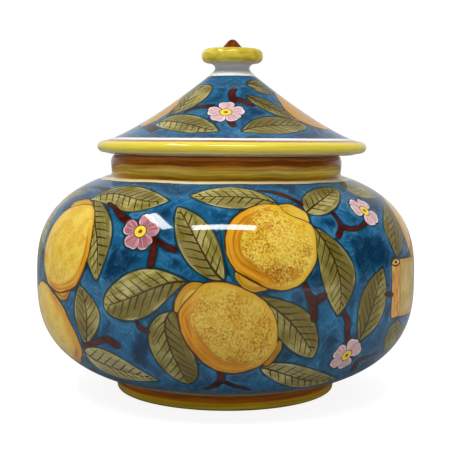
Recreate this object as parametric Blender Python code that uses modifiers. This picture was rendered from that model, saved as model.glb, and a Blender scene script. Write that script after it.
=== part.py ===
# A squat maiolica cookie jar: a thrown pot with a foot ring and a collared mouth, and a loose
# tent-shaped lid that carries a waisted knob with a pointed pellet on top. Every piece is turned
# from its own section. Lengths are in metres, +Z is up, and the origin is the middle of the ring
# that the jar stands on.

from math import acos, asin, cos, hypot, pi, sin

import bpy

# Pot: two superellipse halves that meet at the widest ring
belly_radius = 0.1250
shoulder_rise = 0.0739  # from the widest ring to where the upper curve would close
belly_drop = 0.0730  # from the widest ring to where the lower curve would close
pot_wall = 0.0060
floor_thickness = 0.0070
shoulder_power = 2.77  # 2 is an ellipse, and more is squarer
belly_power = 2.71

# Foot ring under the pot
foot_radius = 0.0725
foot_height = 0.00905  # from the table to the crease where the belly starts
foot_flare = 0.0014  # how far the ring's top stands out beyond its resting edge
foot_ring_width = 0.0095
foot_recess = 0.0050
foot_edge = 0.0008
foot_swell_share = 0.5  # of that flare, already reached half way up

# Collar round the mouth
neck_radius = 0.0767
neck_height = 0.0136  # from the shoulder to the lip
neck_wall = 0.0064
neck_waist = 0.0006  # how far the collar draws in above the shoulder
neck_cove = 0.0018
lip_width = 0.0027  # the lip's outer round is taller than it is wide
lip_height = 0.0054
lip_inner_round = 0.0016

# Lid
rim_overhang = 0.0124  # the rolled edge, out beyond the collar's side
rim_roll = 0.0039  # half the rolled edge's thickness
rim_reach = 0.0050  # the roll is an ellipse, longer outwards than it is thick
rim_lift = 0.0011  # the rolled edge's lowest point, above the seat
seat_overlap = 0.0025  # the flat seat runs this far past the collar's side
lid_rise = 0.0429  # from the top of the rolled edge to the crown
lid_wall = 0.0060
slope_power = 1.27  # above 1 the slope sags like a tent
seat_gap = 0.0003

# Locating ring under the lid, which drops loosely into the mouth
guide_play = 0.0044  # all round, between the ring and the mouth
guide_depth = 0.0120
guide_wall = 0.0052
guide_edge = 0.0012
lid_shift_share = 0.82  # of that play: a loose lid comes to rest to one side

# Knob, stuck to the crown with slip
knob_radius = 0.0203
knob_thickness = 0.0094
knob_top_round = 0.0042
knob_bottom_round = 0.0042
stem_radius = 0.0115
stem_spread = 0.0041  # how far the stem's foot widens, out to the crown's edge
stem_height = 0.0082
stem_waist_share = 0.62  # of the stem's height, from its foot
stem_cove = 0.0032
stem_lean = 0.29 * pi  # how far the cove turns before the stem runs straight to the crown
knob_base_inset = 0.0003
slip_gap = 0.0003

# Pellet on the knob
tip_radius = 0.0071
tip_height = 0.0061
tip_point_round = 0.0040
tip_edge = 0.0004
tip_lean = pi / 4

# Facets
pot_steps = 56
knob_steps = 36
tip_steps = 24
belly_rings = 10
lining_rings = 8
slope_rings = 9
round_rings = 4
edge_rings = 2
weld_distance = 0.00001


def height_share(width_share, power):
    """How far up or down a superellipse half has narrowed to this share of its widest radius."""
    return (1 - width_share ** power) ** (1 / power)


# What follows from the sizes above
crease_radius = foot_radius + foot_flare
belly_height = foot_height + belly_drop * height_share(crease_radius / belly_radius, belly_power)
shoulder_radius = neck_radius - neck_waist + neck_cove
shoulder_share = height_share(shoulder_radius / belly_radius, shoulder_power)
neck_base = belly_height + shoulder_rise * shoulder_share
neck_top = neck_base + neck_height
mouth_radius = neck_radius - neck_wall
seat_height = neck_top + seat_gap
guide_radius = mouth_radius - guide_play
lid_shift = guide_play * lid_shift_share
rim_centre_radius = neck_radius + rim_overhang - rim_reach
rim_centre_height = seat_height + rim_lift + rim_roll
slope_foot = rim_centre_height + rim_roll
crown_radius = stem_radius + stem_spread
crown_height = slope_foot + lid_rise
knob_base = crown_height + slip_gap
knob_underside = knob_base + stem_height
knob_top = knob_underside + knob_thickness
tip_base = knob_top + slip_gap


def arc(centre, width, height, start, end, steps):
    """Points (r, z) of an elliptical round. Angle 0 points outwards, and pi / 2 up."""
    turn = (end - start) / steps
    angles = [start + turn * i for i in range(steps + 1)]
    return [(centre[0] + width * cos(a), centre[1] + height * sin(a)) for a in angles]


def round_arc(centre, radius, start, end, steps=round_rings):
    return arc(centre, radius, radius, start, end, steps)


def swell(radius, height, power, last_angle, steps):
    """A superellipse from its widest ring to last_angle, as (r, distance from the widest ring)."""
    angles = [last_angle * i / steps for i in range(steps + 1)]
    return [(radius * cos(a) ** (2 / power), height * sin(a) ** (2 / power)) for a in angles]


def angle_at_radius(share, power):
    """Where the superellipse has narrowed to this share of its widest radius."""
    return acos(share ** (power / 2))


def angle_at_height(share, power):
    return asin(share ** (power / 2))


def lining():
    """The pot's inside, from the middle of its floor up to the mouth."""
    floor = foot_recess + floor_thickness
    radius = belly_radius - pot_wall
    rise = shoulder_rise - pot_wall
    drop = belly_drop - pot_wall
    floor_angle = angle_at_height((belly_height - floor) / drop, belly_power)
    mouth_angle = angle_at_radius(mouth_radius / radius, shoulder_power)
    lower = swell(radius, drop, belly_power, floor_angle, lining_rings)
    upper = swell(radius, rise, shoulder_power, mouth_angle, lining_rings)
    points = [(0.0, floor)]
    points += [(r, belly_height - down) for r, down in reversed(lower)]
    points += [(r, belly_height + up) for r, up in upper[1:]]
    return points


def collar():
    """The mouth's collar: up over its lip from the inside, and down to the cove on the shoulder."""
    inner = (mouth_radius + lip_inner_round, neck_top - lip_inner_round)
    outer = (neck_radius - lip_width, neck_top - lip_height)
    cove = (shoulder_radius, neck_base + neck_cove)
    points = round_arc(inner, lip_inner_round, pi, pi / 2)
    points += arc(outer, lip_width, lip_height, pi / 2, 0.0, round_rings)
    points += round_arc(cove, neck_cove, pi, 3 * pi / 2)
    return points


def outside():
    """The pot's outside, from the shoulder down over the belly to the foot ring's crease."""
    neck_angle = angle_at_radius(shoulder_radius / belly_radius, shoulder_power)
    foot_angle = angle_at_radius(crease_radius / belly_radius, belly_power)
    upper = swell(belly_radius, shoulder_rise, shoulder_power, neck_angle, belly_rings)
    lower = swell(belly_radius, belly_drop, belly_power, foot_angle, belly_rings)
    points = [(r, belly_height + up) for r, up in reversed(upper[:-1])]
    points += [(r, belly_height - down) for r, down in lower[1:]]
    return points


def foot():
    """The foot ring, from its crease down its side, under it and across the recess."""
    inner_radius = foot_radius - foot_ring_width
    outer_edge = (foot_radius - foot_edge, foot_edge)
    inner_edge = (inner_radius + foot_edge, foot_edge)
    points = [(foot_radius + foot_flare * foot_swell_share, (foot_height + foot_edge) / 2)]
    points += round_arc(outer_edge, foot_edge, 0.0, -pi / 2)
    points += round_arc(inner_edge, foot_edge, -pi / 2, -pi, edge_rings)
    points += [(inner_radius, foot_recess), (0.0, foot_recess)]
    return points


def pot_section():
    return lining() + collar() + outside() + foot()


def slope(share):
    """A point on the lid's slope: share 0 is the crown's edge, and 1 the top of the rolled edge."""
    r = crown_radius + (rim_centre_radius - crown_radius) * share
    return r, slope_foot + lid_rise * (1 - share) ** slope_power


def under_slope(share):
    """The point a wall's thickness in from slope(share), square to the slope."""
    nearby_share = 0.01
    r, z = slope(share)
    r_on, z_on = slope(share + nearby_share)
    run = hypot(r_on - r, z_on - z)
    return r - lid_wall * (z - z_on) / run, z - lid_wall * (r_on - r) / run


def share_under(radius):
    """Where the inside of the slope reaches this radius."""
    low_share, high_share = 0.0, 1 - 1 / slope_rings
    for _ in range(30):
        middle_share = (low_share + high_share) / 2
        if under_slope(middle_share)[0] < radius:
            low_share = middle_share
        else:
            high_share = middle_share
    return low_share


def guide_ring():
    """The locating ring, from the seat down its outer side and up its inner one."""
    bottom = seat_height - guide_depth
    bore = guide_radius - guide_wall
    outer_edge = (guide_radius - guide_edge, bottom + guide_edge)
    inner_edge = (bore + guide_edge, bottom + guide_edge)
    points = [(guide_radius, seat_height)]
    points += round_arc(outer_edge, guide_edge, 0.0, -pi / 2, edge_rings)
    points += round_arc(inner_edge, guide_edge, -pi / 2, -pi, edge_rings)
    return points


def lid_section():
    """From the middle of the crown down the slope, round the rolled edge and back under the lid."""
    rim_centre = (rim_centre_radius, rim_centre_height)
    points = [(0.0, crown_height)]
    points += [slope(i / slope_rings) for i in range(slope_rings)]
    points += arc(rim_centre, rim_reach, rim_roll, pi / 2, -pi / 2, 2 * round_rings)
    points.append((neck_radius + seat_overlap, seat_height))
    points += guide_ring()
    bore_share = share_under(guide_radius - guide_wall)
    under = [under_slope(bore_share * i / slope_rings) for i in range(slope_rings + 1)]
    points += reversed(under)
    points.append((0.0, under[0][1]))
    return points


def knob_section():
    """From the middle of the knob's top over its disc, and down the coves that make its stem."""
    top_centre = (knob_radius - knob_top_round, knob_top - knob_top_round)
    bottom_centre = (knob_radius - knob_bottom_round, knob_underside + knob_bottom_round)
    waist = knob_base + stem_height * stem_waist_share
    upper_reach = bottom_centre[0] - stem_radius
    upper_cove = (stem_radius + upper_reach, waist)
    lower_cove = (stem_radius + stem_cove, waist)
    points = [(0.0, knob_top)]
    points += round_arc(top_centre, knob_top_round, pi / 2, 0.0)
    points += round_arc(bottom_centre, knob_bottom_round, 0.0, -pi / 2)
    points += arc(upper_cove, upper_reach, knob_underside - waist, pi / 2, pi, round_rings)[1:]
    points += round_arc(lower_cove, stem_cove, pi, pi + stem_lean)[1:]
    points += [(crown_radius - knob_base_inset, knob_base), (0.0, knob_base)]
    return points


def tip_section():
    """A cone with a rounded point."""
    centre = (0.0, tip_base + tip_height - tip_point_round)
    points = round_arc(centre, tip_point_round, pi / 2, pi / 2 - tip_lean)
    points += [(tip_radius, tip_base + tip_edge), (tip_radius - tip_edge, tip_base), (0.0, tip_base)]
    return points


def glaze(name, colour, roughness):
    """A fired glaze. The colour is linear."""
    material = bpy.data.materials.new(name)
    material.use_nodes = True
    shader = material.node_tree.nodes["Principled BSDF"]
    shader.inputs["Base Color"].default_value = (*colour, 1.0)
    shader.inputs["Roughness"].default_value = roughness
    shader.inputs["Metallic"].default_value = 0.0
    return material


def turn(name, section, steps, material, collection, axis=None):
    """One solid of revolution about Z, from a section that runs down its outer side."""
    mesh = bpy.data.meshes.new(name)
    points = [(r, 0.0, z) for r, z in section]
    mesh.from_pydata(points, [(i, i + 1) for i in range(len(points) - 1)], [])
    mesh.materials.append(material)
    piece = bpy.data.objects.new(name, mesh)
    piece.parent = axis
    collection.objects.link(piece)

    screw = piece.modifiers.new("turn", "SCREW")
    screw.steps = steps
    screw.render_steps = steps
    screw.use_merge_vertices = True
    screw.merge_threshold = weld_distance
    screw.use_smooth_shade = True
    return piece


def build():
    for old in list(bpy.data.objects):
        bpy.data.objects.remove(old)
    jar = bpy.data.collections.new("cookie_jar")
    bpy.context.scene.collection.children.link(jar)

    # The lid's own axis, which it lifts along
    lid_axis = bpy.data.objects.new("lid_axis", None)
    lid_axis.location = (lid_shift, 0.0, 0.0)
    jar.objects.link(lid_axis)

    blue = glaze("blue_glaze", (0.025, 0.120, 0.260), 0.12)
    yellow = glaze("yellow_glaze", (0.640, 0.520, 0.100), 0.12)
    brown = glaze("brown_glaze", (0.200, 0.055, 0.010), 0.15)
    turn("jar_body", pot_section(), pot_steps, blue, jar)
    turn("lid_shell", lid_section(), pot_steps, blue, jar, lid_axis)
    turn("lid_knob", knob_section(), knob_steps, yellow, jar, lid_axis)
    turn("knob_tip", tip_section(), tip_steps, brown, jar, lid_axis)

    print(f"the jar is {2 * belly_radius:.4f} across and {tip_base + tip_height:.4f} high")
    print(f"lip {neck_top:.5f}, seat {seat_height:.5f}, crown {crown_height:.5f}, lid shift {lid_shift:.5f}")


build()
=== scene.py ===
import math
from functools import partial

import bpy
import numpy as np
from mathutils import Matrix, Vector, geometry
from mathutils.kdtree import KDTree


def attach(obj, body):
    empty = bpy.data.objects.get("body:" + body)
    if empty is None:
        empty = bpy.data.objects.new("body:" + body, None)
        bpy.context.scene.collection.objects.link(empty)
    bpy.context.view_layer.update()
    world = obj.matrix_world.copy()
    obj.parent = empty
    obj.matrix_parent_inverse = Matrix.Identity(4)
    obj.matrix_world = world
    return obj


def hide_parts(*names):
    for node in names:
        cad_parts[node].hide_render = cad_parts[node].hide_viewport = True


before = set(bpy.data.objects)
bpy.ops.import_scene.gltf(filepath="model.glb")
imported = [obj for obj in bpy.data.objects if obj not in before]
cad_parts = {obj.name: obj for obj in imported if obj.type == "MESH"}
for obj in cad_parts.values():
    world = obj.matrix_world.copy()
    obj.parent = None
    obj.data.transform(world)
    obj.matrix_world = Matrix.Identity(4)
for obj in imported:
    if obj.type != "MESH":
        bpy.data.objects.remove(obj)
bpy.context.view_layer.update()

# A lidded maiolica jar. Each piece is turned: its section is a run from the middle of its
# underside outwards and upwards, and the painting lies on a sheet that is wrapped round it.
# Shapes are in metres, the painting in millimetres along the glaze. Round angles start at the
# front (-Y) and grow towards +X.

shot = {
    "away": 674.9,         # mm from the lens to the pot's axis
    "height": 166.2,       # mm over the ground
    "lookDown": 4.181,     # degrees
    "roll": 0.335,
    "focal": 1008.05,      # in pixels of the picture, as the next two
    "picture": 452,
    "rise": 15.0,          # the lens axis, above the picture's middle
    "reach": (500, 720),   # mm from the lens between which the jar's front lies
    "past": (15, 3),       # mm of run before and after a painted zone where outlines may begin
}

clay = {
    "columns": 192,        # round the plain zones
    "rowStep": 3.0,        # mm between rows there, at most
    "rowTurn": 7.0,        # degrees that the section turns between two rows, at most
    "grain": 1.9,          # mm between points in the painted zones
    "outlineStep": 1.3,    # mm along a motif's outline
    "ring": 0.6,           # mm from an outline to the rings of points beside it
    "cell": 0.55,          # mm, a square in which one ring point is kept
    "margin": 0.3,         # mm from a zone's ends to the nearest outline
    "clear": 0.7,          # mm from a zone's ends to the nearest ring point
    "seam": 0.9,           # mm from the sheet's sides to the nearest loose point
    "arcStep": 0.00015,    # m between the points of an arc
    "soft": 0.35,          # mm by which the glaze rounds every corner
    "spread": 125.0,       # mm of sheet for each radian round
    "endNear": 3.2,        # mm, how near an outline the brush of the ground takes a zone's ends to be
}
halfTurn = math.pi * clay["spread"]    # mm, half the sheet's width


# Part of an ellipse
def arcPoints(centre, width, height, start, end):
    count = max(8, int(abs(end - start) * max(width, height) / clay["arcStep"]))
    turns = np.linspace(start, end, count)
    return np.column_stack([centre[0] + width * np.cos(turns), centre[1] + height * np.sin(turns)])


# A quarter of a superellipse, from its widest point up to a turn
def swellPoints(radius, height, power, lastTurn):
    turns = np.linspace(0, lastTurn, 400)
    return radius * np.cos(turns) ** (2 / power), height * np.sin(turns) ** (2 / power)


# The same line with its points at even steps
def evenRun(points, step):
    length = np.concatenate([[0], np.cumsum(np.hypot(*np.diff(points, axis=0).T))])
    kept = np.concatenate([[True], np.diff(length) > 1e-9])
    at = np.linspace(0, length[-1], int(length[-1] / step) + 1)
    return np.column_stack([np.interp(at, length[kept], points[kept, k]) for k in (0, 1)])


# The section in millimetres: radius and height at each length along it, softened as glaze does
def glazedSection(points, slip=0.0):
    step = 0.2    # mm between points
    even = evenRun(np.vstack(points) * 1000, step)
    reach = int(4 * clay["soft"] / step)
    before, after = even[reach:0:-1] * (-1, 1), even[-2:-reach - 2:-1] * (-1, 1)
    weights = np.exp(-0.5 * (np.arange(-reach, reach + 1) * step / clay["soft"]) ** 2)
    padded = np.vstack([before, even, after])
    soft = np.column_stack([np.convolve(padded[:, k], weights / weights.sum(), "valid") for k in (0, 1)])
    soft[0, 0] = soft[-1, 0] = 0.0
    run = np.concatenate([[0], np.cumsum(np.hypot(*np.diff(soft, axis=0).T))])
    slopes = np.gradient(soft, run, axis=0)
    slopes /= np.hypot(*slopes.T)[:, None]
    return {"run": run, "r": soft[:, 0], "z": soft[:, 1], "out": slopes[:, 1], "up": -slopes[:, 0],
            "slip": slip * 1000}


def radiusAt(section, run):
    return np.interp(run, section["run"], section["r"])


pot = {
    "beltRadius": 0.1250, "shoulderRise": 0.0739, "shoulderPower": 2.77,
    "bellyDrop": 0.0730, "bellyPower": 2.71, "wall": 0.0060, "floor": 0.0070,
    "footRadius": 0.0725, "footHeight": 0.00905, "footFlare": 0.0014, "footWidth": 0.0095,
    "footRecess": 0.0050, "footEdge": 0.0008,
    "neckRadius": 0.0767, "neckHeight": 0.0136, "neckWall": 0.0064, "neckWaist": 0.0006,
    "neckCove": 0.0018, "lipWidth": 0.0027, "lipHeight": 0.0054, "lipInside": 0.0016,
    "blueTop": 84.8,       # mm, the radius where the blue stops on the shoulder
    "blueFoot": 12.5,      # mm of run from the crease over the foot to where the blue starts
    "wiped": 0.35,         # mm up to which the glaze is wiped off the foot
}


# How high a superellipse still stands at a share of its width
def heightShare(widthShare, power):
    return (1 - widthShare ** power) ** (1 / power)


def potSection():
    p = pot
    crease = p["footRadius"] + p["footFlare"]
    belt = p["footHeight"] + p["bellyDrop"] * heightShare(crease / p["beltRadius"], p["bellyPower"])
    shoulder = p["neckRadius"] - p["neckWaist"] + p["neckCove"]
    neckBase = belt + p["shoulderRise"] * heightShare(shoulder / p["beltRadius"], p["shoulderPower"])
    neckTop, mouth = neckBase + p["neckHeight"], p["neckRadius"] - p["neckWall"]
    edge, inner = p["footEdge"], p["footRadius"] - p["footWidth"]
    turnAtRadius = lambda share, power: math.acos(share ** (power / 2))
    turnAtHeight = lambda share, power: math.asin(share ** (power / 2))

    lowR, lowZ = swellPoints(p["beltRadius"], p["bellyDrop"], p["bellyPower"],
                             turnAtRadius(crease / p["beltRadius"], p["bellyPower"]))
    highR, highZ = swellPoints(p["beltRadius"], p["shoulderRise"], p["shoulderPower"],
                               turnAtRadius(shoulder / p["beltRadius"], p["shoulderPower"]))
    inside, rise, drop = p["beltRadius"] - p["wall"], p["shoulderRise"] - p["wall"], p["bellyDrop"] - p["wall"]
    floorZ = p["footRecess"] + p["floor"]
    insideHigh = swellPoints(inside, rise, p["shoulderPower"],
                             turnAtRadius(mouth / inside, p["shoulderPower"]))
    insideLow = swellPoints(inside, drop, p["bellyPower"],
                            turnAtHeight((belt - floorZ) / drop, p["bellyPower"]))
    points = [
        [(0, p["footRecess"]), (inner, p["footRecess"])],
        arcPoints((inner + edge, edge), edge, edge, math.pi, 1.5 * math.pi),
        arcPoints((p["footRadius"] - edge, edge), edge, edge, -math.pi / 2, 0),
        [(p["footRadius"] + p["footFlare"] / 2, (p["footHeight"] + edge) / 2)],
        np.column_stack([lowR, belt - lowZ])[::-1],
        np.column_stack([highR, belt + highZ])[1:],
        arcPoints((shoulder, neckBase + p["neckCove"]), p["neckCove"], p["neckCove"], 1.5 * math.pi, math.pi),
        arcPoints((p["neckRadius"] - p["lipWidth"], neckTop - p["lipHeight"]), p["lipWidth"], p["lipHeight"],
                  0, math.pi / 2),
        arcPoints((mouth + p["lipInside"], neckTop - p["lipInside"]), p["lipInside"], p["lipInside"],
                  math.pi / 2, math.pi),
        np.column_stack([insideHigh[0], belt + insideHigh[1]])[::-1],
        np.column_stack([insideLow[0], belt - insideLow[1]])[1:],
        [(0, floorZ)],
    ]
    section = glazedSection([np.array(part, float) for part in points])
    outer = section["run"][np.argmax(section["r"])]
    run, r, z = section["run"], section["r"], section["z"]
    section["belt"], section["lip"] = outer, run[np.argmax(z)]
    above = (run < outer) & (z > p["footHeight"] * 1000)
    blue = (run > outer) & (run < section["lip"]) & (r > p["blueTop"])
    section["crease"] = run[above].min()
    section["zone"] = (section["crease"] + p["blueFoot"], run[blue].max())
    return section, neckTop


potGlaze, neckTop = potSection()


lid = {
    "seatGap": 0.0003, "overhang": 0.0124, "roll": 0.0039, "reach": 0.0050, "lift": 0.0011,
    "seat": 0.0025, "rise": 0.0429, "wall": 0.0060, "sag": 1.27, "crown": 0.0156,
    "ringPlay": 0.0044, "ringDepth": 0.0120, "ringWall": 0.0052, "ringEdge": 0.0012,
    "slipShare": 0.82,     # of that play: the loose lid stands off to one side
    "blueEdge": 6.2,       # mm of run from the rolled edge's top to the blue
    "blueCrown": 0.4,      # mm of run left white below the knob's foot
}


def lidSection():
    p = lid
    seat = neckTop + p["seatGap"]
    centre = (pot["neckRadius"] + p["overhang"] - p["reach"], seat + p["lift"] + p["roll"])
    ring = pot["neckRadius"] - pot["neckWall"] - p["ringPlay"]
    bore, bottom, edge = ring - p["ringWall"], seat - p["ringDepth"], p["ringEdge"]
    share = np.linspace(0, 1, 500)
    slopeR = p["crown"] + (centre[0] - p["crown"]) * share
    slopeZ = centre[1] + p["roll"] + p["rise"] * (1 - share) ** p["sag"]
    leanR, leanZ = np.gradient(slopeR), np.gradient(slopeZ)
    size = np.hypot(leanR, leanZ)
    underR, underZ = slopeR + p["wall"] * leanZ / size, slopeZ - p["wall"] * leanR / size
    under = underR < bore
    points = [
        [(0, underZ[0])],
        np.column_stack([underR, underZ])[under],
        arcPoints((bore + edge, bottom + edge), edge, edge, math.pi, 1.5 * math.pi),
        arcPoints((ring - edge, bottom + edge), edge, edge, -math.pi / 2, 0),
        [(ring, seat), (pot["neckRadius"] + p["seat"], seat)],
        arcPoints(centre, p["reach"], p["roll"], -math.pi / 2, math.pi / 2),
        np.column_stack([slopeR, slopeZ])[::-1][1:],
        [(0, slopeZ[0])],
    ]
    section = glazedSection([np.array(part, float) for part in points], p["slipShare"] * p["ringPlay"])
    run, r, z = section["run"], section["r"], section["z"]
    onSlope = (run > run[np.argmax(r)]) & (r < centre[0] * 1000)
    section["rimTop"] = run[onSlope].min()
    crownEdge = run[(run > section["rimTop"]) & (r > p["crown"] * 1000)].max()
    section["crown"] = crownEdge
    section["zone"] = (section["rimTop"] + p["blueEdge"], crownEdge - p["blueCrown"])
    section["belt"] = run[np.argmax(r)]
    section["seat"] = run[(r > ring * 1000) & (z < seat * 1000 + 0.4)].max()
    return section, slopeZ[0]


lidGlaze, crownTop = lidSection()


knob = {
    "radius": 0.0203, "thickness": 0.0094, "topRound": 0.0042, "bottomRound": 0.0042,
    "stemRadius": 0.0115, "stemHeight": 0.0082, "waist": 0.62, "cove": 0.0032, "lean": 0.29 * math.pi,
    "slipJoint": 0.0003,   # the knob's foot is drawn down over the slip that holds it
    "sink": 0.0004,        # how far its hidden underside lies in the crown
}

pellet = {
    "radius": 0.0071, "height": 0.0061, "pointRound": 0.0040, "edge": 0.0004,
    "lean": math.pi / 4, "sink": 0.0002,
}


def knobSection():
    p = knob
    base = crownTop + p["slipJoint"]
    under, top = base + p["stemHeight"], base + p["stemHeight"] + p["thickness"]
    waist = base + p["stemHeight"] * p["waist"]
    reach = p["radius"] - p["bottomRound"] - p["stemRadius"]
    points = [
        [(0, crownTop - p["sink"]), (lid["crown"] - 0.0006, crownTop - p["sink"]), (lid["crown"], crownTop)],
        arcPoints((p["stemRadius"] + p["cove"], waist), p["cove"], p["cove"], math.pi + p["lean"], math.pi),
        arcPoints((p["stemRadius"] + reach, waist), reach, under - waist, math.pi, math.pi / 2),
        arcPoints((p["radius"] - p["bottomRound"], under + p["bottomRound"]), p["bottomRound"],
                  p["bottomRound"], -math.pi / 2, 0),
        arcPoints((p["radius"] - p["topRound"], top - p["topRound"]), p["topRound"], p["topRound"],
                  0, math.pi / 2),
        [(0, top)],
    ]
    section = glazedSection([np.array(part, float) for part in points], lid["slipShare"] * lid["ringPlay"])
    return section, top


def pelletSection(knobTop):
    p = pellet
    base = knobTop + knob["slipJoint"]
    centre = (0, base + p["height"] - p["pointRound"])
    points = [
        [(0, knobTop - p["sink"]), (p["radius"] - p["edge"], knobTop - p["sink"]),
         (p["radius"], knobTop + p["edge"])],
        arcPoints(centre, p["pointRound"], p["pointRound"], math.pi / 2 - p["lean"], math.pi / 2),
    ]
    return glazedSection([np.array(part, float) for part in points], lid["slipShare"] * lid["ringPlay"])


knobGlaze, knobTop = knobSection()
pelletGlaze = pelletSection(knobTop)
print("sections: pot %.1f mm, lid %.1f mm of run" % (potGlaze["run"][-1], lidGlaze["run"][-1]))


# Where a point of the picture lies on a piece: its round angle and its run
def seen(section, point):
    roll, tilt = math.radians(shot["roll"]), math.radians(shot["lookDown"])
    across, down = point[0] - shot["picture"] / 2, point[1] - shot["picture"] / 2 + shot["rise"]
    right = (across * math.cos(roll) + down * math.sin(roll)) / shot["focal"]
    up = (across * math.sin(roll) - down * math.cos(roll)) / shot["focal"]
    ray = (right, math.cos(tilt) + up * math.sin(tilt), up * math.cos(tilt) - math.sin(tilt))
    far = np.linspace(*shot["reach"], 4401)
    x, y, z = ray[0] * far - section["slip"], ray[1] * far - shot["away"], ray[2] * far + shot["height"]
    low, high = section["zone"][0] - shot["past"][0], section["zone"][1] + shot["past"][1]
    part = (section["run"] >= low) & (section["run"] <= high)
    depth = np.interp(z, section["z"][part], section["r"][part]) - np.hypot(x, y)
    hit = int(np.argmax(depth > 0)) if (depth > 0).any() else int(np.argmax(depth))
    run = float(np.interp(z[hit], section["z"][part], section["run"][part]))
    return math.atan2(x[hit], -y[hit]), run


# A motif's own axes: along and across it in millimetres, from a base point and a turn
def toSheet(section, axes, points):
    angle, run, turn = axes
    x = points[:, 0] * math.cos(turn) - points[:, 1] * math.sin(turn)
    y = points[:, 0] * math.sin(turn) + points[:, 1] * math.cos(turn)
    return np.column_stack([(angle + x / radiusAt(section, run + y)) * clay["spread"], run + y])


def fromSheet(section, axes, sheet):
    angle, run, turn = axes
    around = (sheet[:, 0] / clay["spread"] - angle + math.pi) % (2 * math.pi) - math.pi
    x, y = around * radiusAt(section, sheet[:, 1]), sheet[:, 1] - run
    return np.column_stack([x * math.cos(turn) + y * math.sin(turn), y * math.cos(turn) - x * math.sin(turn)])


# A closed line with its points at even steps
def resampled(points, step):
    loop = np.vstack([points, points[:1]])
    length = np.concatenate([[0], np.cumsum(np.hypot(*np.diff(loop, axis=0).T))])
    count = max(8, int(round(length[-1] / step)))
    at = np.linspace(0, length[-1], count + 1)[:count]
    return np.column_stack([np.interp(at, length, loop[:, k]) for k in (0, 1)])


# Axes from a base to a tip, and how far to each side two more points lie
def setOut(section, base, tip, sides, turnedBy=0.0):
    baseAt, tipAt = seen(section, base), seen(section, tip)
    axes = (baseAt[0], baseAt[1], 0.0)
    onSheet = lambda at: np.array([[at[0] * clay["spread"], at[1]]])
    ahead = fromSheet(section, axes, onSheet(tipAt))[0]
    axes = (baseAt[0], baseAt[1], math.atan2(ahead[1], ahead[0]))
    widths = [fromSheet(section, axes, onSheet(seen(section, side)))[0] for side in sides]
    return (axes[0] + turnedBy, axes[1], axes[2]), float(np.hypot(*ahead)), widths


# A leaf from its base to its tip, in which each side has a bulge of its own
def leafMotif(section, leaf, turnedBy=0.0):
    base, tip, one, other, baseShape, tipShape, tone = leaf
    axes, length, widths = setOut(section, base, tip, (one, other), turnedBy)
    right, left = sorted(widths, key=lambda w: w[1])
    share = (1 - np.cos(np.linspace(0, math.pi, 60))) / 2
    shape = baseShape + (tipShape - baseShape) * share

    def edge(side):
        widest = min(max(side[0] / length, 0.3), 0.7)    # not too near either end
        return side[1] * np.sin(math.pi * share ** (math.log(0.5) / math.log(widest))) ** shape

    leftEdge, rightEdge = edge(left), edge(right)
    outline = np.vstack([np.column_stack([share * length, rightEdge]),
                         np.column_stack([share * length, leftEdge])[::-1][1:-1]])
    middle = (leftEdge + rightEdge) / 2
    return {"paint": "leaf", "axes": axes, "outline": resampled(outline, clay["outlineStep"]),
            "rib": (share * length, middle), "tone": (length, left[1] - right[1], tone)}


# A smooth closed line through a few points
def roundLoop(points):
    share = np.linspace(0, 1, 9)[:-1][:, None]
    loop = []
    for i in range(len(points)):
        before, here, there, after = (points[(i + k) % len(points)] for k in (-1, 0, 1, 2))
        loop.append(0.5 * (2 * here + (there - before) * share
                           + (2 * before - 5 * here + 4 * there - after) * share ** 2
                           + (3 * here - before - 3 * there + after) * share ** 3))
    return np.vstack(loop)


# The size by which the glaze knows a lemon's end, which is drawn behind the fruit's body
endSize = 60.0


# A lemon by its outline in the picture. Where it goes out of sight the outline goes on in degrees
# round and mm over the belt, or else it is closed by half an ellipse
def lemonMotif(section, points, turnedBy=0.0, shade=180.0, tone=0.5, hidden=(), closed=True, size=None):
    places = [seen(section, point) for point in points]
    places += [(math.radians(degrees), section["belt"] + rise) for degrees, rise in hidden]
    angle, run = np.mean(places, axis=0)
    loop = fromSheet(section, (angle, run, 0.0), np.array([[a * clay["spread"], r] for a, r in places]))
    if not closed:
        flatness, smoothings = 0.85, 3
        for _ in range(smoothings):
            loop[1:-1] = (loop[:-2] + 2 * loop[1:-1] + loop[2:]) / 4
        middle, half = (loop[0] + loop[-1]) / 2, (loop[-1] - loop[0]) / 2
        away = np.array([-half[1], half[0]])
        away *= -np.sign((loop[1:-1] - middle) @ away).sum() / len(loop[1:-1]) * flatness
        turns = np.linspace(0, math.pi, 12)[1:-1, None]
        loop = np.vstack([loop, middle + half * np.cos(turns) + away * np.sin(turns)])
    loop = roundLoop(loop)
    step = np.roll(loop, -1, axis=0)
    area = abs(np.sum(loop[:, 0] * step[:, 1] - step[:, 0] * loop[:, 1])) / 2
    return {"paint": "lemon", "axes": (angle + turnedBy, run, 0.0), "centre": tuple(loop.mean(axis=0)),
            "outline": resampled(loop, clay["outlineStep"]),
            "tone": (size or math.sqrt(area / math.pi), math.radians(shade), tone)}


# A lemon out of the camera's sight, by its middle in degrees round and run, on top of its end
def sideLemon(degrees, run, length, width, tilt, shade):
    turns = np.linspace(0, 2 * math.pi, 121)[:-1]
    made = []
    for middle, tall, wide, tone in ((length * 0.47, 15, 22, (endSize, 0.0, 0.4)),
                                     (0, length, width,
                                      (width / 2, math.radians(shade - tilt), again["sponge"]))):
        oval = np.column_stack([middle + tall / 2 * np.cos(turns),
                                wide / 2 * np.sin(turns) * (1 - 0.08 * np.cos(turns))])
        made.append({"paint": "lemon", "axes": (math.radians(degrees), run, math.radians(tilt)),
                     "centre": (0, 0), "outline": resampled(oval, clay["outlineStep"]), "tone": tone})
    return made


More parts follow.
